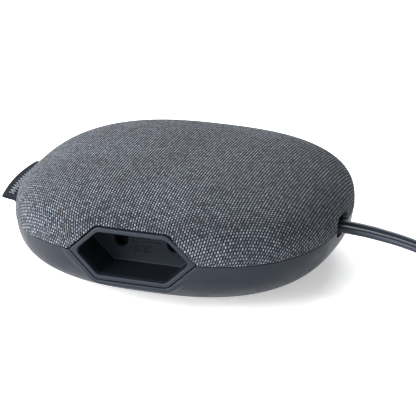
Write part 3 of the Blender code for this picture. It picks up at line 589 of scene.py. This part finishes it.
def plan_radius(angle, half_x=HALF_X, half_y=HALF_Y):
    c, s = np.abs(np.cos(angle)), np.abs(np.sin(angle))
    return ((c / half_x) ** PLAN_POWER + (s / half_y) ** PLAN_POWER) ** (-1 / PLAN_POWER)


def round_points(reach, angle, z):
    """Points at a reach, an angle and a height about the pebble's upright axis."""
    return np.stack([reach * np.cos(angle), reach * np.sin(angle), np.broadcast_to(z, reach.shape)], axis=-1)


def share_at(z):
    """How much of its widest outline the pebble has at height z."""
    z = np.asarray(z, float)
    up = np.clip((z - WIDEST_Z) / (HEIGHT - WIDEST_Z), 0, 1)
    down = np.clip((WIDEST_Z - z) / (WIDEST_Z + SINK), 0, 1)
    dome = (1 - up**DOME_POWER) ** (1 / DOME_POWER)
    base = (1 - down**BASE_POWER) ** (1 / BASE_POWER)
    return np.where(z >= WIDEST_Z, dome, base)


def surface_reach(across, z, half_across, half_reach):
    """How far the pebble reaches along one axis, at a place across that axis and a height."""
    share = np.maximum(share_at(z), 1e-6)
    inner = np.clip(np.abs(across) / (share * half_across), 0, 1)
    return share * half_reach * (1 - inner**PLAN_POWER) ** (1 / PLAN_POWER)


def fold_path(outside, radius):
    """A sheet turned down into an opening: its distance outside the edge, and its depth behind the skin."""
    turn = np.clip((radius - outside) / radius, 0, math.pi / 2)
    rolled = outside < radius
    past = np.maximum(0, radius - radius * math.pi / 2 - outside)
    beside = np.where(rolled, radius * (1 - np.sin(turn)), outside)
    depth = np.where(rolled, radius * (1 - np.cos(turn)) + past, 0.0)
    return beside, depth


FAR_AWAY = 1.0


class Opening:
    """A hole through the pebble's side: a socket on axis 1 (-Y or +Y), or the notch on axis 0 (+X)."""

    def __init__(self, axis, sign, centre_across, centre_z, outline):
        self.axis, self.sign, self.outline = axis, sign, outline
        self.centre = np.array([centre_across, centre_z])
        self.halves = (HALF_X, HALF_Y) if axis == 1 else (HALF_Y, HALF_X)

    def distance(self, points):
        """Each point's signed distance outside the hole, or far away if it isn't on this side."""
        flat = np.column_stack([points[:, 1 - self.axis], points[:, 2]]) - self.centre
        outside, foot = nearest_on_outline(flat, self.outline)
        facing = self.sign * points[:, self.axis] > 0.4 * self.halves[1]
        return np.where(facing, outside, FAR_AWAY), foot, flat

    def fold(self, points, radius, lift):
        """Turns the sheet down into the hole. Gives the moved points and their distance outside the hole."""
        outside, foot, flat = self.distance(points)
        beside, depth = fold_path(outside, radius)
        moved = outside < radius
        way = flat - foot
        size = np.maximum(np.hypot(*way.T), 1e-12)[:, None]
        way = way / size * np.where(outside < 0, -1.0, 1.0)[:, None]
        target = np.where(moved[:, None], foot + way * beside[:, None], flat) + self.centre
        reach = surface_reach(target[:, 0], target[:, 1], *self.halves)
        old = surface_reach(points[:, 1 - self.axis], points[:, 2], *self.halves)
        own = np.abs(points[:, self.axis])
        back = old - own
        base = np.where(moved, reach - back, own)
        if lift is not None:
            base = lift(base, target[:, 0] - self.centre[0], np.maximum(beside, 0.0), outside)
        new = points.copy()
        near = moved if lift is None else outside < FAR_AWAY
        new[near, 1 - self.axis] = target[near, 0]
        new[near, 2] = target[near, 1]
        new[near, self.axis] = self.sign * (base - depth)[near]
        return new, outside


def socket_opening(sign, gap):
    outline = divided(hexagon(gap, 0.25 * MM, 4.0 * MM), 1.0 * MM)
    return Opening(1, sign, -sign * SOCKET_X, SOCKET_Z, outline)


def notch_opening():
    sizes = (NOTCH_HALF_WIDTH, NOTCH_HALF_HEIGHT, NOTCH_RADIUS)
    outline = rounded_rectangle(*(size + NOTCH_GAP for size in sizes))
    return Opening(0, 1, 0.0, NOTCH_Z, outline)


def grid_mesh(name, grid, keep, up):
    """A mesh from rows of rings, (rows, around, 3), closed at its top (up is 1) or its bottom (up is -1).

    The faces that have no corner to keep are left out.
    """
    rows, around = grid.shape[:2]
    index = np.arange(rows * around).reshape(rows, around)
    beside = np.roll(index, -1, axis=1)
    quads = np.stack([index[:-1], index[1:], beside[1:], beside[:-1]], axis=-1).reshape(-1, 4)
    quads = quads[keep[quads].any(axis=1)]
    end = index[0] if up > 0 else index[-1][::-1]
    mesh = bpy.data.meshes.new(name)
    mesh.from_pydata(grid.reshape(-1, 3).tolist(), [], [*quads.tolist(), end.tolist()])
    return mesh


def bridge(shape, rows):
    """Closes a tube through the bmesh's rows of vertices, with a face on each end."""
    for lower, upper in zip(rows, rows[1:]):
        for k in range(len(lower)):
            n = (k + 1) % len(lower)
            shape.faces.new((lower[k], lower[n], upper[n], upper[k]))
    shape.faces.new(rows[0])
    shape.faces.new(rows[-1])


def outward_mesh(name, shape):
    """The bmesh's mesh, with its faces turned outward."""
    bmesh.ops.recalc_face_normals(shape, faces=shape.faces)
    mesh = bpy.data.meshes.new(name)
    shape.to_mesh(mesh)
    shape.free()
    return mesh


def settle(mesh, up):
    """Drops a skin's loose points, and turns its faces so that its end face looks up or down."""
    shape = bmesh.new()
    shape.from_mesh(mesh)
    bmesh.ops.delete(shape, geom=[v for v in shape.verts if not v.link_faces], context="VERTS")
    shape.to_mesh(mesh)
    shape.free()
    end = max(mesh.polygons, key=lambda face: up * face.center.z)
    if up * end.normal.z < 0:
        mesh.flip_normals()


def resampled(profile, spacing):
    """The (share, z) profile at equal steps of about the spacing along its length at a mean radius."""
    profile = np.asarray(profile, float)
    mean = (HALF_X + HALF_Y) / 2
    steps = np.hypot(np.diff(profile[:, 0]) * mean, np.diff(profile[:, 1]))
    length = np.concatenate([[0], np.cumsum(steps)])
    count = max(2, int(length[-1] / spacing))
    at = np.linspace(0, length[-1], count + 1)
    return np.column_stack([np.interp(at, length, profile[:, 0]), np.interp(at, length, profile[:, 1])])


def pebble_skin(share, z, inset, angle, folds, kept_depth):
    """Rings of points on the pebble, folded into its openings, with their reach and which of them to keep.

    Each fold is an opening with its fold radius and its lift.
    """
    reach = share[:, None] * plan_radius(angle)[None] - inset[:, None]
    grid = round_points(reach, angle, z[:, None])
    points = grid.reshape(-1, 3)
    keep = np.ones(len(points), bool)
    for opening, radius, lift in folds:
        points, outside = opening.fold(points, radius, lift)
        keep &= outside > -kept_depth
    return points.reshape(grid.shape), reach, keep


def make_cover():
    """The cloth: one sheet over the dome, tucked in along the seam and round the sockets and the notch."""
    around = int(2 * math.pi * MEAN_RADIUS / CLOTH_SPACING)
    turn = np.linspace(0.02, math.pi / 2, 800)
    dome_z = WIDEST_Z + (HEIGHT - WIDEST_Z) * np.cos(turn) ** (2 / DOME_POWER)
    dome = np.column_stack([np.sin(turn) ** (2 / DOME_POWER), dome_z])
    last_z = np.linspace(WIDEST_Z, CLOTH_EDGE_Z + CLOTH_FOLD, 12)[1:]
    profile = np.vstack([dome, np.column_stack([share_at(last_z), last_z])])
    profile = resampled(profile, CLOTH_SPACING)
    angle = np.linspace(0, 2 * math.pi, around, endpoint=False)
    tuck = np.arange(CLOTH_SPACING, CLOTH_TUCK, CLOTH_SPACING)
    beside, depth = fold_path(CLOTH_FOLD - tuck, CLOTH_FOLD)
    share = np.concatenate([profile[:, 0], np.full(len(tuck), profile[-1, 0])])
    z = np.concatenate([profile[:, 1], CLOTH_EDGE_Z + beside])
    inset = np.concatenate([np.zeros(len(profile)), depth])
    openings = (socket_opening(-1, BEZEL_GAP), socket_opening(1, BEZEL_GAP), notch_opening())
    folds = [(opening, CLOTH_FOLD, None) for opening in openings]
    points, reach, keep = pebble_skin(share, z, inset, angle, folds, CLOTH_TURNED_IN)

    # How far each point is from the dome's top along the cloth, and its place in the weave.
    step = np.hypot(np.diff(reach, axis=0), (np.diff(z) * WALL_STRETCH)[:, None])
    flat = np.vstack([reach[:1], reach[0] + np.cumsum(step, axis=0)])
    yarns = np.stack([flat * np.cos(angle) / WARP_PITCH, flat * np.sin(angle) / WEFT_PITCH], axis=-1)
    weave = yarns.reshape(-1, 2).astype(np.float32)

    mesh = grid_mesh("cloth_cover", points, keep, 1)
    layer = mesh.uv_layers.new(name="weave")
    corner = np.zeros(len(mesh.loops), np.int32)
    mesh.loops.foreach_get("vertex_index", corner)
    layer.data.foreach_set("uv", weave[corner].reshape(-1))
    settle(mesh, 1)
    cover = dressed("cloth_cover", mesh, woven_cloth())
    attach(cover, "housing")
    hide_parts("fabric_cover")


# ------------------------ plastic housing

LIP_WIDTH = 1.3 * MM
LIP_BLEND = 1.5 * MM


def lip_lift(base, across, beside, outside):
    """Brings the base up to the bezel's face in a narrow lip, then lets it fall back to the pebble."""
    face = BEZEL_Y - BEZEL_SAG * (across / BEZEL_TIP) ** 2 - 0.1 * MM
    share = smoothstep((LIP_WIDTH + LIP_BLEND - beside) / LIP_BLEND)
    raised = np.maximum(base, face)
    return np.where(outside < 6 * MM, base + (raised - base) * share, base)


def make_base(finish):
    """The lower housing: the pebble below the seam, with a lip round the lower half of each bezel."""
    around = int(2 * math.pi * MEAN_RADIUS / BASE_SPACING)
    edge = BASE_EDGE
    z = np.linspace(SEAM_Z - edge, UNDERSIDE_Z, 400)
    outer = resampled(np.column_stack([share_at(z), z]), BASE_SPACING)
    angle = np.linspace(0, 2 * math.pi, around, endpoint=False)
    bend = np.linspace(0, math.pi / 2, 4)[1:]
    top_z = np.concatenate([[SEAM_Z, SEAM_Z, SEAM_Z], SEAM_Z - edge + edge * np.cos(bend)])
    top_inset = BASE_INSET + np.concatenate([[3.0 * MM, 1.6 * MM, edge], edge - edge * np.sin(bend)])
    top_share = np.full(len(top_z), float(share_at(SEAM_Z)))
    under_share = outer[-1, 0] * np.linspace(1, 0.1, 24)[1:]
    share = np.concatenate([top_share, outer[:, 0], under_share])
    z = np.concatenate([top_z, outer[:, 1], np.full(len(under_share), UNDERSIDE_Z)])
    inset = np.concatenate([top_inset, np.full(len(outer) + len(under_share), BASE_INSET)])
    folds = [(socket_opening(sign, BEZEL_GAP * 0.5), edge, lip_lift) for sign in (-1, 1)]
    folds.append((notch_opening(), edge, None))
    points, _, keep = pebble_skin(share, z, inset, angle, folds, BASE_TURNED_IN)
    mesh = grid_mesh("lower_housing", points, keep, -1)
    settle(mesh, -1)
    base = dressed("lower_housing", mesh, finish)
    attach(base, "housing")
    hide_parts("base_shell")


def socket_ring(outline, depth, curved=True, middle_z=SOCKET_Z):
    """A ring at a depth behind the bezel's curved face, or at a distance in front of the pebble's middle."""
    ring = []
    for x, z in outline:
        y = -BEZEL_Y + BEZEL_SAG * (x / BEZEL_TIP) ** 2 + depth if curved else -depth
        ring.append((x, y, middle_z + z))
    return ring


def make_socket(facing, turn, finish):
    """The socket's cup: bezel, recess, back wall with two chamfered pin holes, and raised marks."""
    bend = [math.radians(a) for a in (0, 30, 60, 90)]
    rim, foot = 0.4 * MM, 0.5 * MM
    wall = -RIM_WIDTH - 0.12 * MM
    rings = []

    def add_ring(grow, tip, corner, *place):
        rings.append(socket_ring(hexagon(grow, tip * MM, corner * MM, 10), *place))

    add_ring(-RIM_WIDTH + 1.3 * MM, 1.5, 3.6, CUP_BACK_Y, False)
    add_ring(-RIM_WIDTH + 1.3 * MM, 1.5, 3.6, FLANGE_DEPTH)
    add_ring(0.0, 0.25, 3.8, FLANGE_DEPTH)
    for a in bend:
        add_ring(-rim * (1 - math.cos(a)), 0.25, 3.8, rim * (1 - math.sin(a)))
    for a in bend:
        add_ring(-RIM_WIDTH + rim * (1 - math.sin(a)), 1.8, 3.0, rim * (1 - math.cos(a)))
    add_ring(-RIM_WIDTH - 0.05 * MM, 1.8, 3.0, 46.0 * MM, False)
    add_ring(wall, 1.8, 3.0, RECESS_Y + foot, False, CONTACT_Z)
    for a in bend[1:]:
        back = RECESS_Y + foot * (1 - math.sin(a))
        add_ring(wall - foot * (1 - math.cos(a)), 1.4, 2.4, back, False, CONTACT_Z)
    cup = ring_loft(f"socket_{facing}", rings, finish, sharp=35)
    for x in (-PIN_SPACING / 2, PIN_SPACING / 2):
        cut_pin_hole(cup, x)
    for piece in (cup, raised_marks(facing, finish)):
        set_in_socket(piece, turn)
        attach(piece, "housing")
    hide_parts(f"socket_cup_{facing}")


def cut_pin_hole(cup, x):
    """Cuts a round hole with a chamfered mouth through the back wall."""
    shape = bmesh.new()
    sides = 40
    profile = [
        (PIN_HOLE_RADIUS, -CUP_BACK_Y + 2 * MM),
        (PIN_HOLE_RADIUS, -RECESS_Y + 0.35 * MM),
        (PIN_HOLE_RADIUS + 0.35 * MM, -RECESS_Y),
        (PIN_HOLE_RADIUS + 0.35 * MM, -RECESS_Y - 1 * MM),
    ]
    angles = [2 * math.pi * k / sides for k in range(sides)]
    rows = []
    for radius, y in profile:
        ring = [(x + radius * math.cos(a), y, CONTACT_Z + radius * math.sin(a)) for a in angles]
        rows.append([shape.verts.new(point) for point in ring])
    bridge(shape, rows)
    cutter = new_object("hole", outward_mesh("hole", shape))
    cut = cup.modifiers.new("hole", "BOOLEAN")
    cut.operation = "DIFFERENCE"
    cut.solver = "EXACT"
    cut.object = cutter
    apply_modifiers(cup)
    bpy.data.objects.remove(cutter, do_unlink=True)
    cup.data.shade_smooth()
    cup.data.set_sharp_from_angle(angle=math.radians(35))


def apply_modifiers(made):
    """Replaces the object's mesh by the one its modifiers make."""
    bpy.context.view_layer.update()
    graph = bpy.context.evaluated_depsgraph_get()
    mesh = bpy.data.meshes.new_from_object(made.evaluated_get(graph))
    made.modifiers.clear()
    made.data = mesh


MARK_RISE = 0.22 * MM
MARK_SLOPE = 0.12 * MM
SQUARE = (-4.6, -0.3, 1.7, 0.24)  # in millimetres: its middle, its side and its line
RULES = ((-1.1, 0.65, 3.6, 0.36), (-0.9, -0.5, 2.4, 0.26), (2.7, -0.5, 3.8, 0.42))


def raised_bar(shape, x, z, width, height):
    """Adds a bevelled bar on the recess's back wall to the bmesh. It is placed and sized in millimetres."""
    rows = []
    for grow, y in ((MARK_SLOPE, 0.05 * MM), (MARK_SLOPE, 0.0), (0.0, -MARK_RISE)):
        w, h = width * MM / 2 + grow, height * MM / 2 + grow
        corners = rounded_rectangle(w, h, min(w, h) * 0.45, 3)
        places = [(x * MM + a, -RECESS_Y + y, SOCKET_Z + z * MM + b) for a, b in corners]
        rows.append([shape.verts.new(place) for place in places])
    bridge(shape, rows)


def raised_marks(facing, finish):
    """Generic moulded marks between the pin holes: a square, fine rules and three brackets. No lettering."""
    shape = bmesh.new()
    middle_x, middle_z, side, line = SQUARE
    half = (side - line) / 2
    for way in (half, -half):
        raised_bar(shape, middle_x, middle_z + way, side, line)
    for way in (-half, half):
        raised_bar(shape, middle_x + way, middle_z, line, side - 2.6 * line)
    for rule in RULES:
        raised_bar(shape, *rule)
    for k, shift in enumerate((-0.52, 0.52, -0.52)):
        x = -3.8 + 2.0 * k
        raised_bar(shape, x, -2.1, 1.5, 0.36)
        raised_bar(shape, x, -3.9, 1.5, 0.36)
        raised_bar(shape, x + shift, -3.0, 0.38, 0.9)
    name = f"socket_marks_{facing}"
    return dressed(name, outward_mesh(name, shape), finish, sharp=35)


SPRING_TURNS = 5.5
SPRING_WIRE = 0.36 * MM


def make_spring(facing, finish):
    """A shutter's return spring, in its CAD solid's box."""
    low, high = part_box(f"shutter_spring_{facing}")
    middle = (low + high) / 2
    wire = SPRING_WIRE / 2
    radius = (high.z - low.z) / 2 - wire
    rings = []
    for turned in np.linspace(0.0, 2 * math.pi * SPRING_TURNS, round(28 * SPRING_TURNS)):
        x = low.x + wire + (high.x - low.x - 2 * wire) * turned / (2 * math.pi * SPRING_TURNS)
        out = np.array((0.0, math.cos(turned), math.sin(turned)))
        centre = np.array((x, middle.y, middle.z)) + radius * out
        rings.append([
            centre + wire * (math.cos(a) * out + math.sin(a) * np.array((1.0, 0.0, 0.0)))
            for a in np.linspace(0.0, 2 * math.pi, 10, endpoint=False)
        ])
    spring = ring_loft(f"return_spring_{facing}", rings, finish, sharp=60)
    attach(spring, "housing")
    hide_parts(f"shutter_spring_{facing}")
    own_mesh(spring)


# In millimetres: where each ring of the notch's liner is, how much it outgrows the notch, and its corners'
# radius. Then where each ring of the flex's slot is, and how much it outgrows the flex.
LINER_RINGS = (
    (48.8, 0.0, 1.8), (54.6, 0.0, 1.8), (54.8, -0.1, 1.7), (54.9, -0.3, 1.5), (54.9, -0.6, 1.2),
    (54.8, -0.8, 1.0), (54.55, -0.9, 0.9), (51.1, -0.9, 0.9), (50.75, -1.05, 0.8), (50.6, -1.4, 0.7),
)
SLOT_RINGS = ((50.6, 0.55), (50.5, 0.3), (48.8, 0.25))


def make_grommet(finish):
    """The open-fronted liner of the notch, with a slot in its floor for the flex."""
    rings = []
    for x, grow, radius in LINER_RINGS:
        wide, high = NOTCH_HALF_WIDTH + grow * MM, NOTCH_HALF_HEIGHT + grow * MM
        outline = rounded_rectangle(wide, high, radius * MM)
        rings.append([(x * MM, y, NOTCH_Z + z) for y, z in outline])
    for x, grow in SLOT_RINGS:
        half = FLEX_THICKNESS / 2 + grow * MM
        outline = rounded_rectangle(FLEX_WIDTH / 2 + grow * MM, half, half - 0.01 * MM)
        rings.append([(x * MM, y, FLEX_EXIT[2] + 0.1 * MM + z) for y, z in outline])
    grommet = ring_loft("flex_grommet", rings, finish, closed_ends=False, looped=True, sharp=50)
    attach(grommet, "housing")
    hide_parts("cord_grommet")


def make_foot(finish):
    """The silicone foot pad: a thin slab with rounded edges and a shallow groove inside its rim."""
    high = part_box("foot_pad")[1]
    angle = np.linspace(0, 2 * math.pi, 160, endpoint=False)
    radius = plan_radius(angle, high.x, high.y)
    top = high.z / MM
    profile = [(6.0, top), (0.0, top), (0.0, 0.45), (0.12, 0.15), (0.45, 0.0), (2.6, 0.0), (2.8, 0.25)]
    profile += [(3.4, 0.25), (3.6, 0.0), (8.0, 0.0)]
    rings = [round_points(radius - inset * MM, angle, z * MM) for inset, z in profile]
    pad = ring_loft("foot", rings, finish, sharp=45)
    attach(pad, "housing")
    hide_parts("foot_pad")


# ------------------------ tag

TAG_HALF_LENGTH = 17.0 * MM
TAG_LINE_MM = (
    (-51.0, 18.75), (-54.9, 18.75), (-55.45, 19.3), (-55.75, 20.1),
    (-56.3, 20.75), (-57.9, 21.1), (-61.3, 21.7),
)
TAG_OUT_MM = 1.2  # how much further out its middle is than its ends, as the seam is
TAG_ARCH_MM = 0.6
TAG_TWIST_MM = (0.65, 0.2)


def tag_point(x, z, y):
    """A point of the ribbon: it follows the seam's curve, and its free edge arches up and turns slightly."""
    end = y / TAG_HALF_LENGTH
    middle = 1 - end**2
    free = float(smoothstep((-x - 55.5 * MM) / (5.5 * MM)))
    out = TAG_OUT_MM * middle + TAG_TWIST_MM[0] * end * free
    return (x - out * MM, y, z + (TAG_ARCH_MM * middle + TAG_TWIST_MM[1] * end) * free * MM)


def make_tag():
    """A ribbon folded in two at its outer edge, tucked into the seam."""
    line = np.array(smooth_route([(x * MM, z * MM) for x, z in TAG_LINE_MM], 0.35 * MM))
    way = np.gradient(line, axis=0)
    way /= np.hypot(*way.T)[:, None]
    side = np.column_stack([-way[:, 1], way[:, 0]])
    apart = 0.27 * MM
    lower, upper = line - side * apart, line + side * apart
    turns = np.linspace(math.pi - 0.3, 0.3, 7)
    tip = [line[-1] + apart * (way[-1] * math.sin(a) - side[-1] * math.cos(a)) for a in turns]
    path = np.vstack([upper, tip, lower[::-1]])
    length = np.concatenate([[0], np.cumsum(np.hypot(*np.diff(path, axis=0).T))])
    columns = 96
    points, weave = [], []
    for (x, z), along in zip(path, length):
        for y in np.linspace(-TAG_HALF_LENGTH, TAG_HALF_LENGTH, columns):
            points.append(tag_point(x, z, y))
            weave.append((y / MM, abs(along - length[-1] / 2) / MM))
    faces = []
    for r in range(len(path) - 1):
        for k in range(columns - 1):
            a = r * columns + k
            faces.append((a, a + 1, a + columns + 1, a + columns))
    tag = mesh_object("ribbon_tag", points, faces, ribbon_material())
    layer = tag.data.uv_layers.new(name="weave")
    for loop in tag.data.loops:
        layer.data[loop.index].uv = weave[loop.vertex_index]
    thick = tag.modifiers.new("thickness", "SOLIDIFY")
    thick.thickness = 0.35 * MM
    thick.offset = 0.0
    apply_modifiers(tag)
    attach(tag, "housing")
    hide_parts("label_tag")


# ------------------------ flex, coil, tie and plug


def coil_route():
    """The wound flex's centreline: inwards in the low layer, up, and outwards in the high layer."""
    points = []
    steps = 40
    total = int(COIL_TURNS * steps)
    for i in range(total + 1):
        turns = i / steps
        outside = COIL_SETTLE * float(1 - smoothstep(turns / COIL_SETTLE_TURNS))
        radius = COIL_OUTER - COIL_PITCH * turns + outside
        points.append((radius, COIL_START + 2 * math.pi * turns, COIL_LOW_Z))
    inner = COIL_OUTER - COIL_PITCH * COIL_TURNS
    climb = steps // 3
    for i in range(1, total + 1):
        turns = i / steps
        radius = inner + COIL_PITCH * max(0.0, turns - 0.1)
        z = COIL_LOW_Z + (COIL_HIGH_Z - COIL_LOW_Z) * float(smoothstep(i / climb))
        points.append((min(radius, COIL_OUTER), COIL_START + 2 * math.pi * (COIL_TURNS + turns), z))
    return points


def polar_point(radius, angle, z, centre_x=COIL_X):
    return (centre_x + radius * math.cos(angle), COIL_Y + radius * math.sin(angle), z)


def flex_centreline():
    """The whole flex from inside the grommet to the plug, and how far it is rolled on edge at each point."""
    approach = [tuple(c * MM for c in point) for point in FLEX_ROUTE_MM]
    wound = coil_route()
    free = smooth_route([*approach, polar_point(*wound[0])], FLEX_STEP)
    coil = [np.array(polar_point(*p)) for p in wound[1:]]
    bend_x = COIL_X + END_OFFSET
    rest_z = COIL_HIGH_Z + FLEX_WIDTH / 2 + FLEX_THICKNESS / 2 + END_LIFT
    arc = []
    for i in range(19):
        angle = math.radians(-60 + 150 * i / 18)
        ease = float(smoothstep((i / 18 - 0.25) / 0.75))
        arc.append(polar_point(END_BEND, angle, rest_z + (PLUG_Z - rest_z) * ease, bend_x))
    arc.append((bend_x - 3 * MM, COIL_Y + END_BEND, PLUG_Z))

    # From the coil's end round to the arc's start, on top of the coil.
    leave_radius, leave_angle, leave_z = wound[-1]
    away = (arc[0][0] - COIL_X, arc[0][1] - COIL_Y)
    first_radius, first_angle = math.hypot(*away), math.atan2(away[1], away[0])
    while first_angle < leave_angle + math.radians(40):
        first_angle += 2 * math.pi
    climb = []
    count = 12
    for i in range(1, count):
        t = i / count
        radius = leave_radius + (first_radius - leave_radius) * float(smoothstep(t))
        z = leave_z + (rest_z - leave_z) * float(smoothstep(t * 1.6))
        climb.append(polar_point(radius, leave_angle + (first_angle - leave_angle) * t, z))
    tail = smooth_route([coil[-2], coil[-1], *climb, *arc], FLEX_STEP)[2:]
    route = np.array([*free, *coil, *tail])
    roll = np.zeros(len(route))
    before, coiled = len(free), len(free) + len(coil)
    roll_start = next(i for i, p in enumerate(free) if p[0] > ON_EDGE_X)
    roll[roll_start:before] = np.linspace(0, 1, before - roll_start)
    roll[before:coiled] = 1.0
    flat_again = coiled + int(len(climb) * 1.6)
    roll[coiled:flat_again] = np.linspace(1, 0, flat_again - coiled)
    lean = np.interp(route[:, 0], LEAN_X, (EXIT_LEAN, FREE_LEAN))
    lean[coiled:] = 0.0
    roll = smoothstep(roll)
    return route, -(lean * (1 - roll) + roll * math.pi / 2)


def flex_section():
    """The flat twin's outline about its middle: two round cores and the web between them."""
    core = 0.445 * FLEX_THICKNESS
    shift = FLEX_WIDTH / 2 - core
    neck = math.radians(20)
    outline = []
    for centre, first in ((shift, -math.pi + neck), (-shift, neck)):
        for i in range(13):
            angle = first + (2 * math.pi - 2 * neck) * i / 12
            outline.append((centre + core * math.cos(angle), core * math.sin(angle)))
    return np.array(outline)


def make_flex(finish):
    route, roll = flex_centreline()
    ahead = np.gradient(route, axis=0)
    ahead /= np.linalg.norm(ahead, axis=1)[:, None]
    side = np.cross(ahead, (0.0, 0.0, 1.0))
    side /= np.linalg.norm(side, axis=1)[:, None]
    up = np.cross(side, ahead)
    wide = side * np.cos(roll)[:, None] + up * np.sin(roll)[:, None]
    thin = np.cross(wide, ahead)
    outline = flex_section()
    rings = [p + outline[:, :1] * w + outline[:, 1:] * t for p, w, t in zip(route, wide, thin)]
    flex = ring_loft("flex", rings, finish, sharp=60)
    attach(flex, "housing")
    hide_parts("cord", "cord_coil", "cord_end")
    return flex, route


def make_tie(finish):
    """A silicone strap round the coil's section, with raised edges."""
    angle = math.radians(-130)
    clear = 0.35 * MM
    low, high = 0.25 * MM, COIL_HIGH_Z + FLEX_WIDTH / 2 + clear
    lap = (angle - COIL_START) / (2 * math.pi) % 1
    inner = COIL_OUTER - COIL_PITCH * COIL_TURNS - FLEX_THICKNESS / 2 - clear
    outer = COIL_OUTER - COIL_PITCH * (lap - 0.1) + FLEX_THICKNESS / 2 + clear
    middle_r, middle_z = (inner + outer) / 2, (low + high) / 2
    path = divided(rounded_rectangle((outer - inner) / 2, (high - low) / 2, 1.6 * MM, 6), 1.2 * MM)
    side = [(4.0, -0.25), (4.0, 0.45), (3.4, 0.45), (3.1, 0.2)]
    band = [(-4.0, -0.25), *side, *((-wide, rise) for wide, rise in side[:0:-1])]
    c, s = math.cos(angle), math.sin(angle)
    rings = []
    for i, (r, z) in enumerate(path):
        before, after = Vector(path[i - 1]), Vector(path[(i + 1) % len(path)])
        way = (after - before).normalized()
        out = Vector((way.y, -way.x))
        ring = []
        for wide, rise in band:
            x, y = middle_r + r + out.x * rise * MM, wide * MM
            up = max(0.02 * MM, middle_z + z + out.y * rise * MM)
            ring.append((COIL_X + x * c - y * s, COIL_Y + x * s + y * c, up))
        rings.append(ring)
    tie = ring_loft("flex_tie", rings, finish, looped=True, sharp=35)
    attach(tie, "housing")
    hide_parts("coil_tie")
    return tie


# The plug's sections in millimetres: distance behind its face, half-width at the tips, half-width at the
# corners, and half-height.
PLUG_SECTIONS = (
    (0.0, 16.9, 10.4, 6.2), (0.2, 17.3, 10.8, 6.6), (0.8, 17.55, 11.0, 6.85), (8.0, 17.3, 10.9, 6.85),
    (12.0, 15.8, 10.0, 6.7), (16.0, 12.6, 8.2, 6.0), (19.0, 9.4, 6.2, 5.0), (22.0, 6.6, 4.4, 4.0),
)
RELIEF_START = 22.0
RELIEF_END = 42.0
RELIEF_RIB = 2.5


def plug_outline(tip, corner, height):
    return rounded_outline(hexagon_corners(tip, corner, height), [min(1.5 * MM, tip / 4)] * 6, 5)


def make_plug(finish):
    """The plug's body with its finger scallops, and its ribbed strain relief in one moulding."""
    low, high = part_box("plug_body")
    face_x, centre_y = low.x, (low.y + high.y) / 2
    keys = np.array(PLUG_SECTIONS)
    along = np.concatenate([keys[:3, 0], np.arange(1.6, RELIEF_START, 0.8)])
    rings = []

    def add_ring(distance, outline):
        rings.append([(face_x + distance * MM, centre_y + y, PLUG_Z + z) for y, z in outline])

    for d in along:
        tip, corner, height = (np.interp(d, keys[:, 0], keys[:, k]) for k in (1, 2, 3))
        scallop = 0.5 * math.exp(-((d - 10.5) / 3.0) ** 2)
        add_ring(d, plug_outline(tip * MM, (corner - 0.4 * scallop) * MM, (height - scallop) * MM))
    count = int((RELIEF_END - RELIEF_START) / 0.42)
    for i in range(count + 1):
        d = RELIEF_START + (RELIEF_END - RELIEF_START) * i / count
        t = (d - RELIEF_START) / (RELIEF_END - RELIEF_START)
        groove = 0.55 if (d - RELIEF_START) % RELIEF_RIB < 0.8 and 0.05 < t < 0.93 else 0.0
        half_width = 5.6 - 1.6 * t - groove
        half_height = 3.6 - 1.2 * t - groove * 0.8
        add_ring(d, plug_outline(half_width * MM * 1.05, half_width * MM * 0.62, half_height * MM))
    body = ring_loft("plug_moulding", rings, finish, sharp=32)
    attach(body, "housing")
    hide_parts("plug_body")
    return body


# ------------------------ assembly


def finish_for(slot):
    """A procedural finish for each of the record's material slots."""
    plastics = {
        "shell": ((0.0140, 0.0168, 0.0232), 0.45),
        "socket_plastic": ((0.0135, 0.0162, 0.0225), 0.45),
        "inner_plastic": ((0.008, 0.008, 0.009), 0.5),
        "silicone": ((0.018, 0.019, 0.021), 0.7),
        "insulator": ((0.010, 0.010, 0.011), 0.55),
        "flex": ((0.0165, 0.0205, 0.0295), 0.38),
        "plug_plastic": ((0.022, 0.026, 0.033), 0.42),
        "core_brown": ((0.16, 0.06, 0.025), 0.45),
        "core_blue": ((0.02, 0.10, 0.42), 0.45),
    }
    metals = {"brass": ((0.78, 0.58, 0.28), 0.28), "steel": ((0.60, 0.60, 0.61), 0.3)}
    more = {
        # Painted shade: the socket plastic keeps 0.6 of its colour and gloss deep inside its recess.
        "socket_plastic": {"recess": 0.6},
        "flex": {"gloss": 0.35, "grain": 0.003 * MM, "grain_size": 0.8 * MM},
    }
    if slot in plastics:
        return moulded(slot, *plastics[slot], **more.get(slot, {}))
    if slot in metals:
        return rolled_metal(slot, *metals[slot])
    return None


add_camera()
FINISHES = {slot["slot"]: finish_for(slot["slot"]) for slot in frame["record"]["materials"]}
flex, flex_route = make_flex(FINISHES["flex"])
tie = make_tie(FINISHES["silicone"])
plug = make_plug(FINISHES["plug_plastic"])
add_studio()
make_cover()
make_base(FINISHES["shell"])
for facing_word, side_turn in SIDES:
    make_socket(facing_word, side_turn, FINISHES["socket_plastic"])
    make_spring(facing_word, FINISHES["steel"])
make_grommet(moulded("notch_plastic", (0.005, 0.006, 0.009), 0.5, gloss=0.08))
make_foot(FINISHES["silicone"])
make_tag()
for part in frame["record"]["subparts"]:
    node = frame["nodes"][part["node"]]
    finish = FINISHES.get(part["material_slot"])
    if finish is not None and not node.hide_render:
        node.data.materials.clear()
        node.data.materials.append(finish)
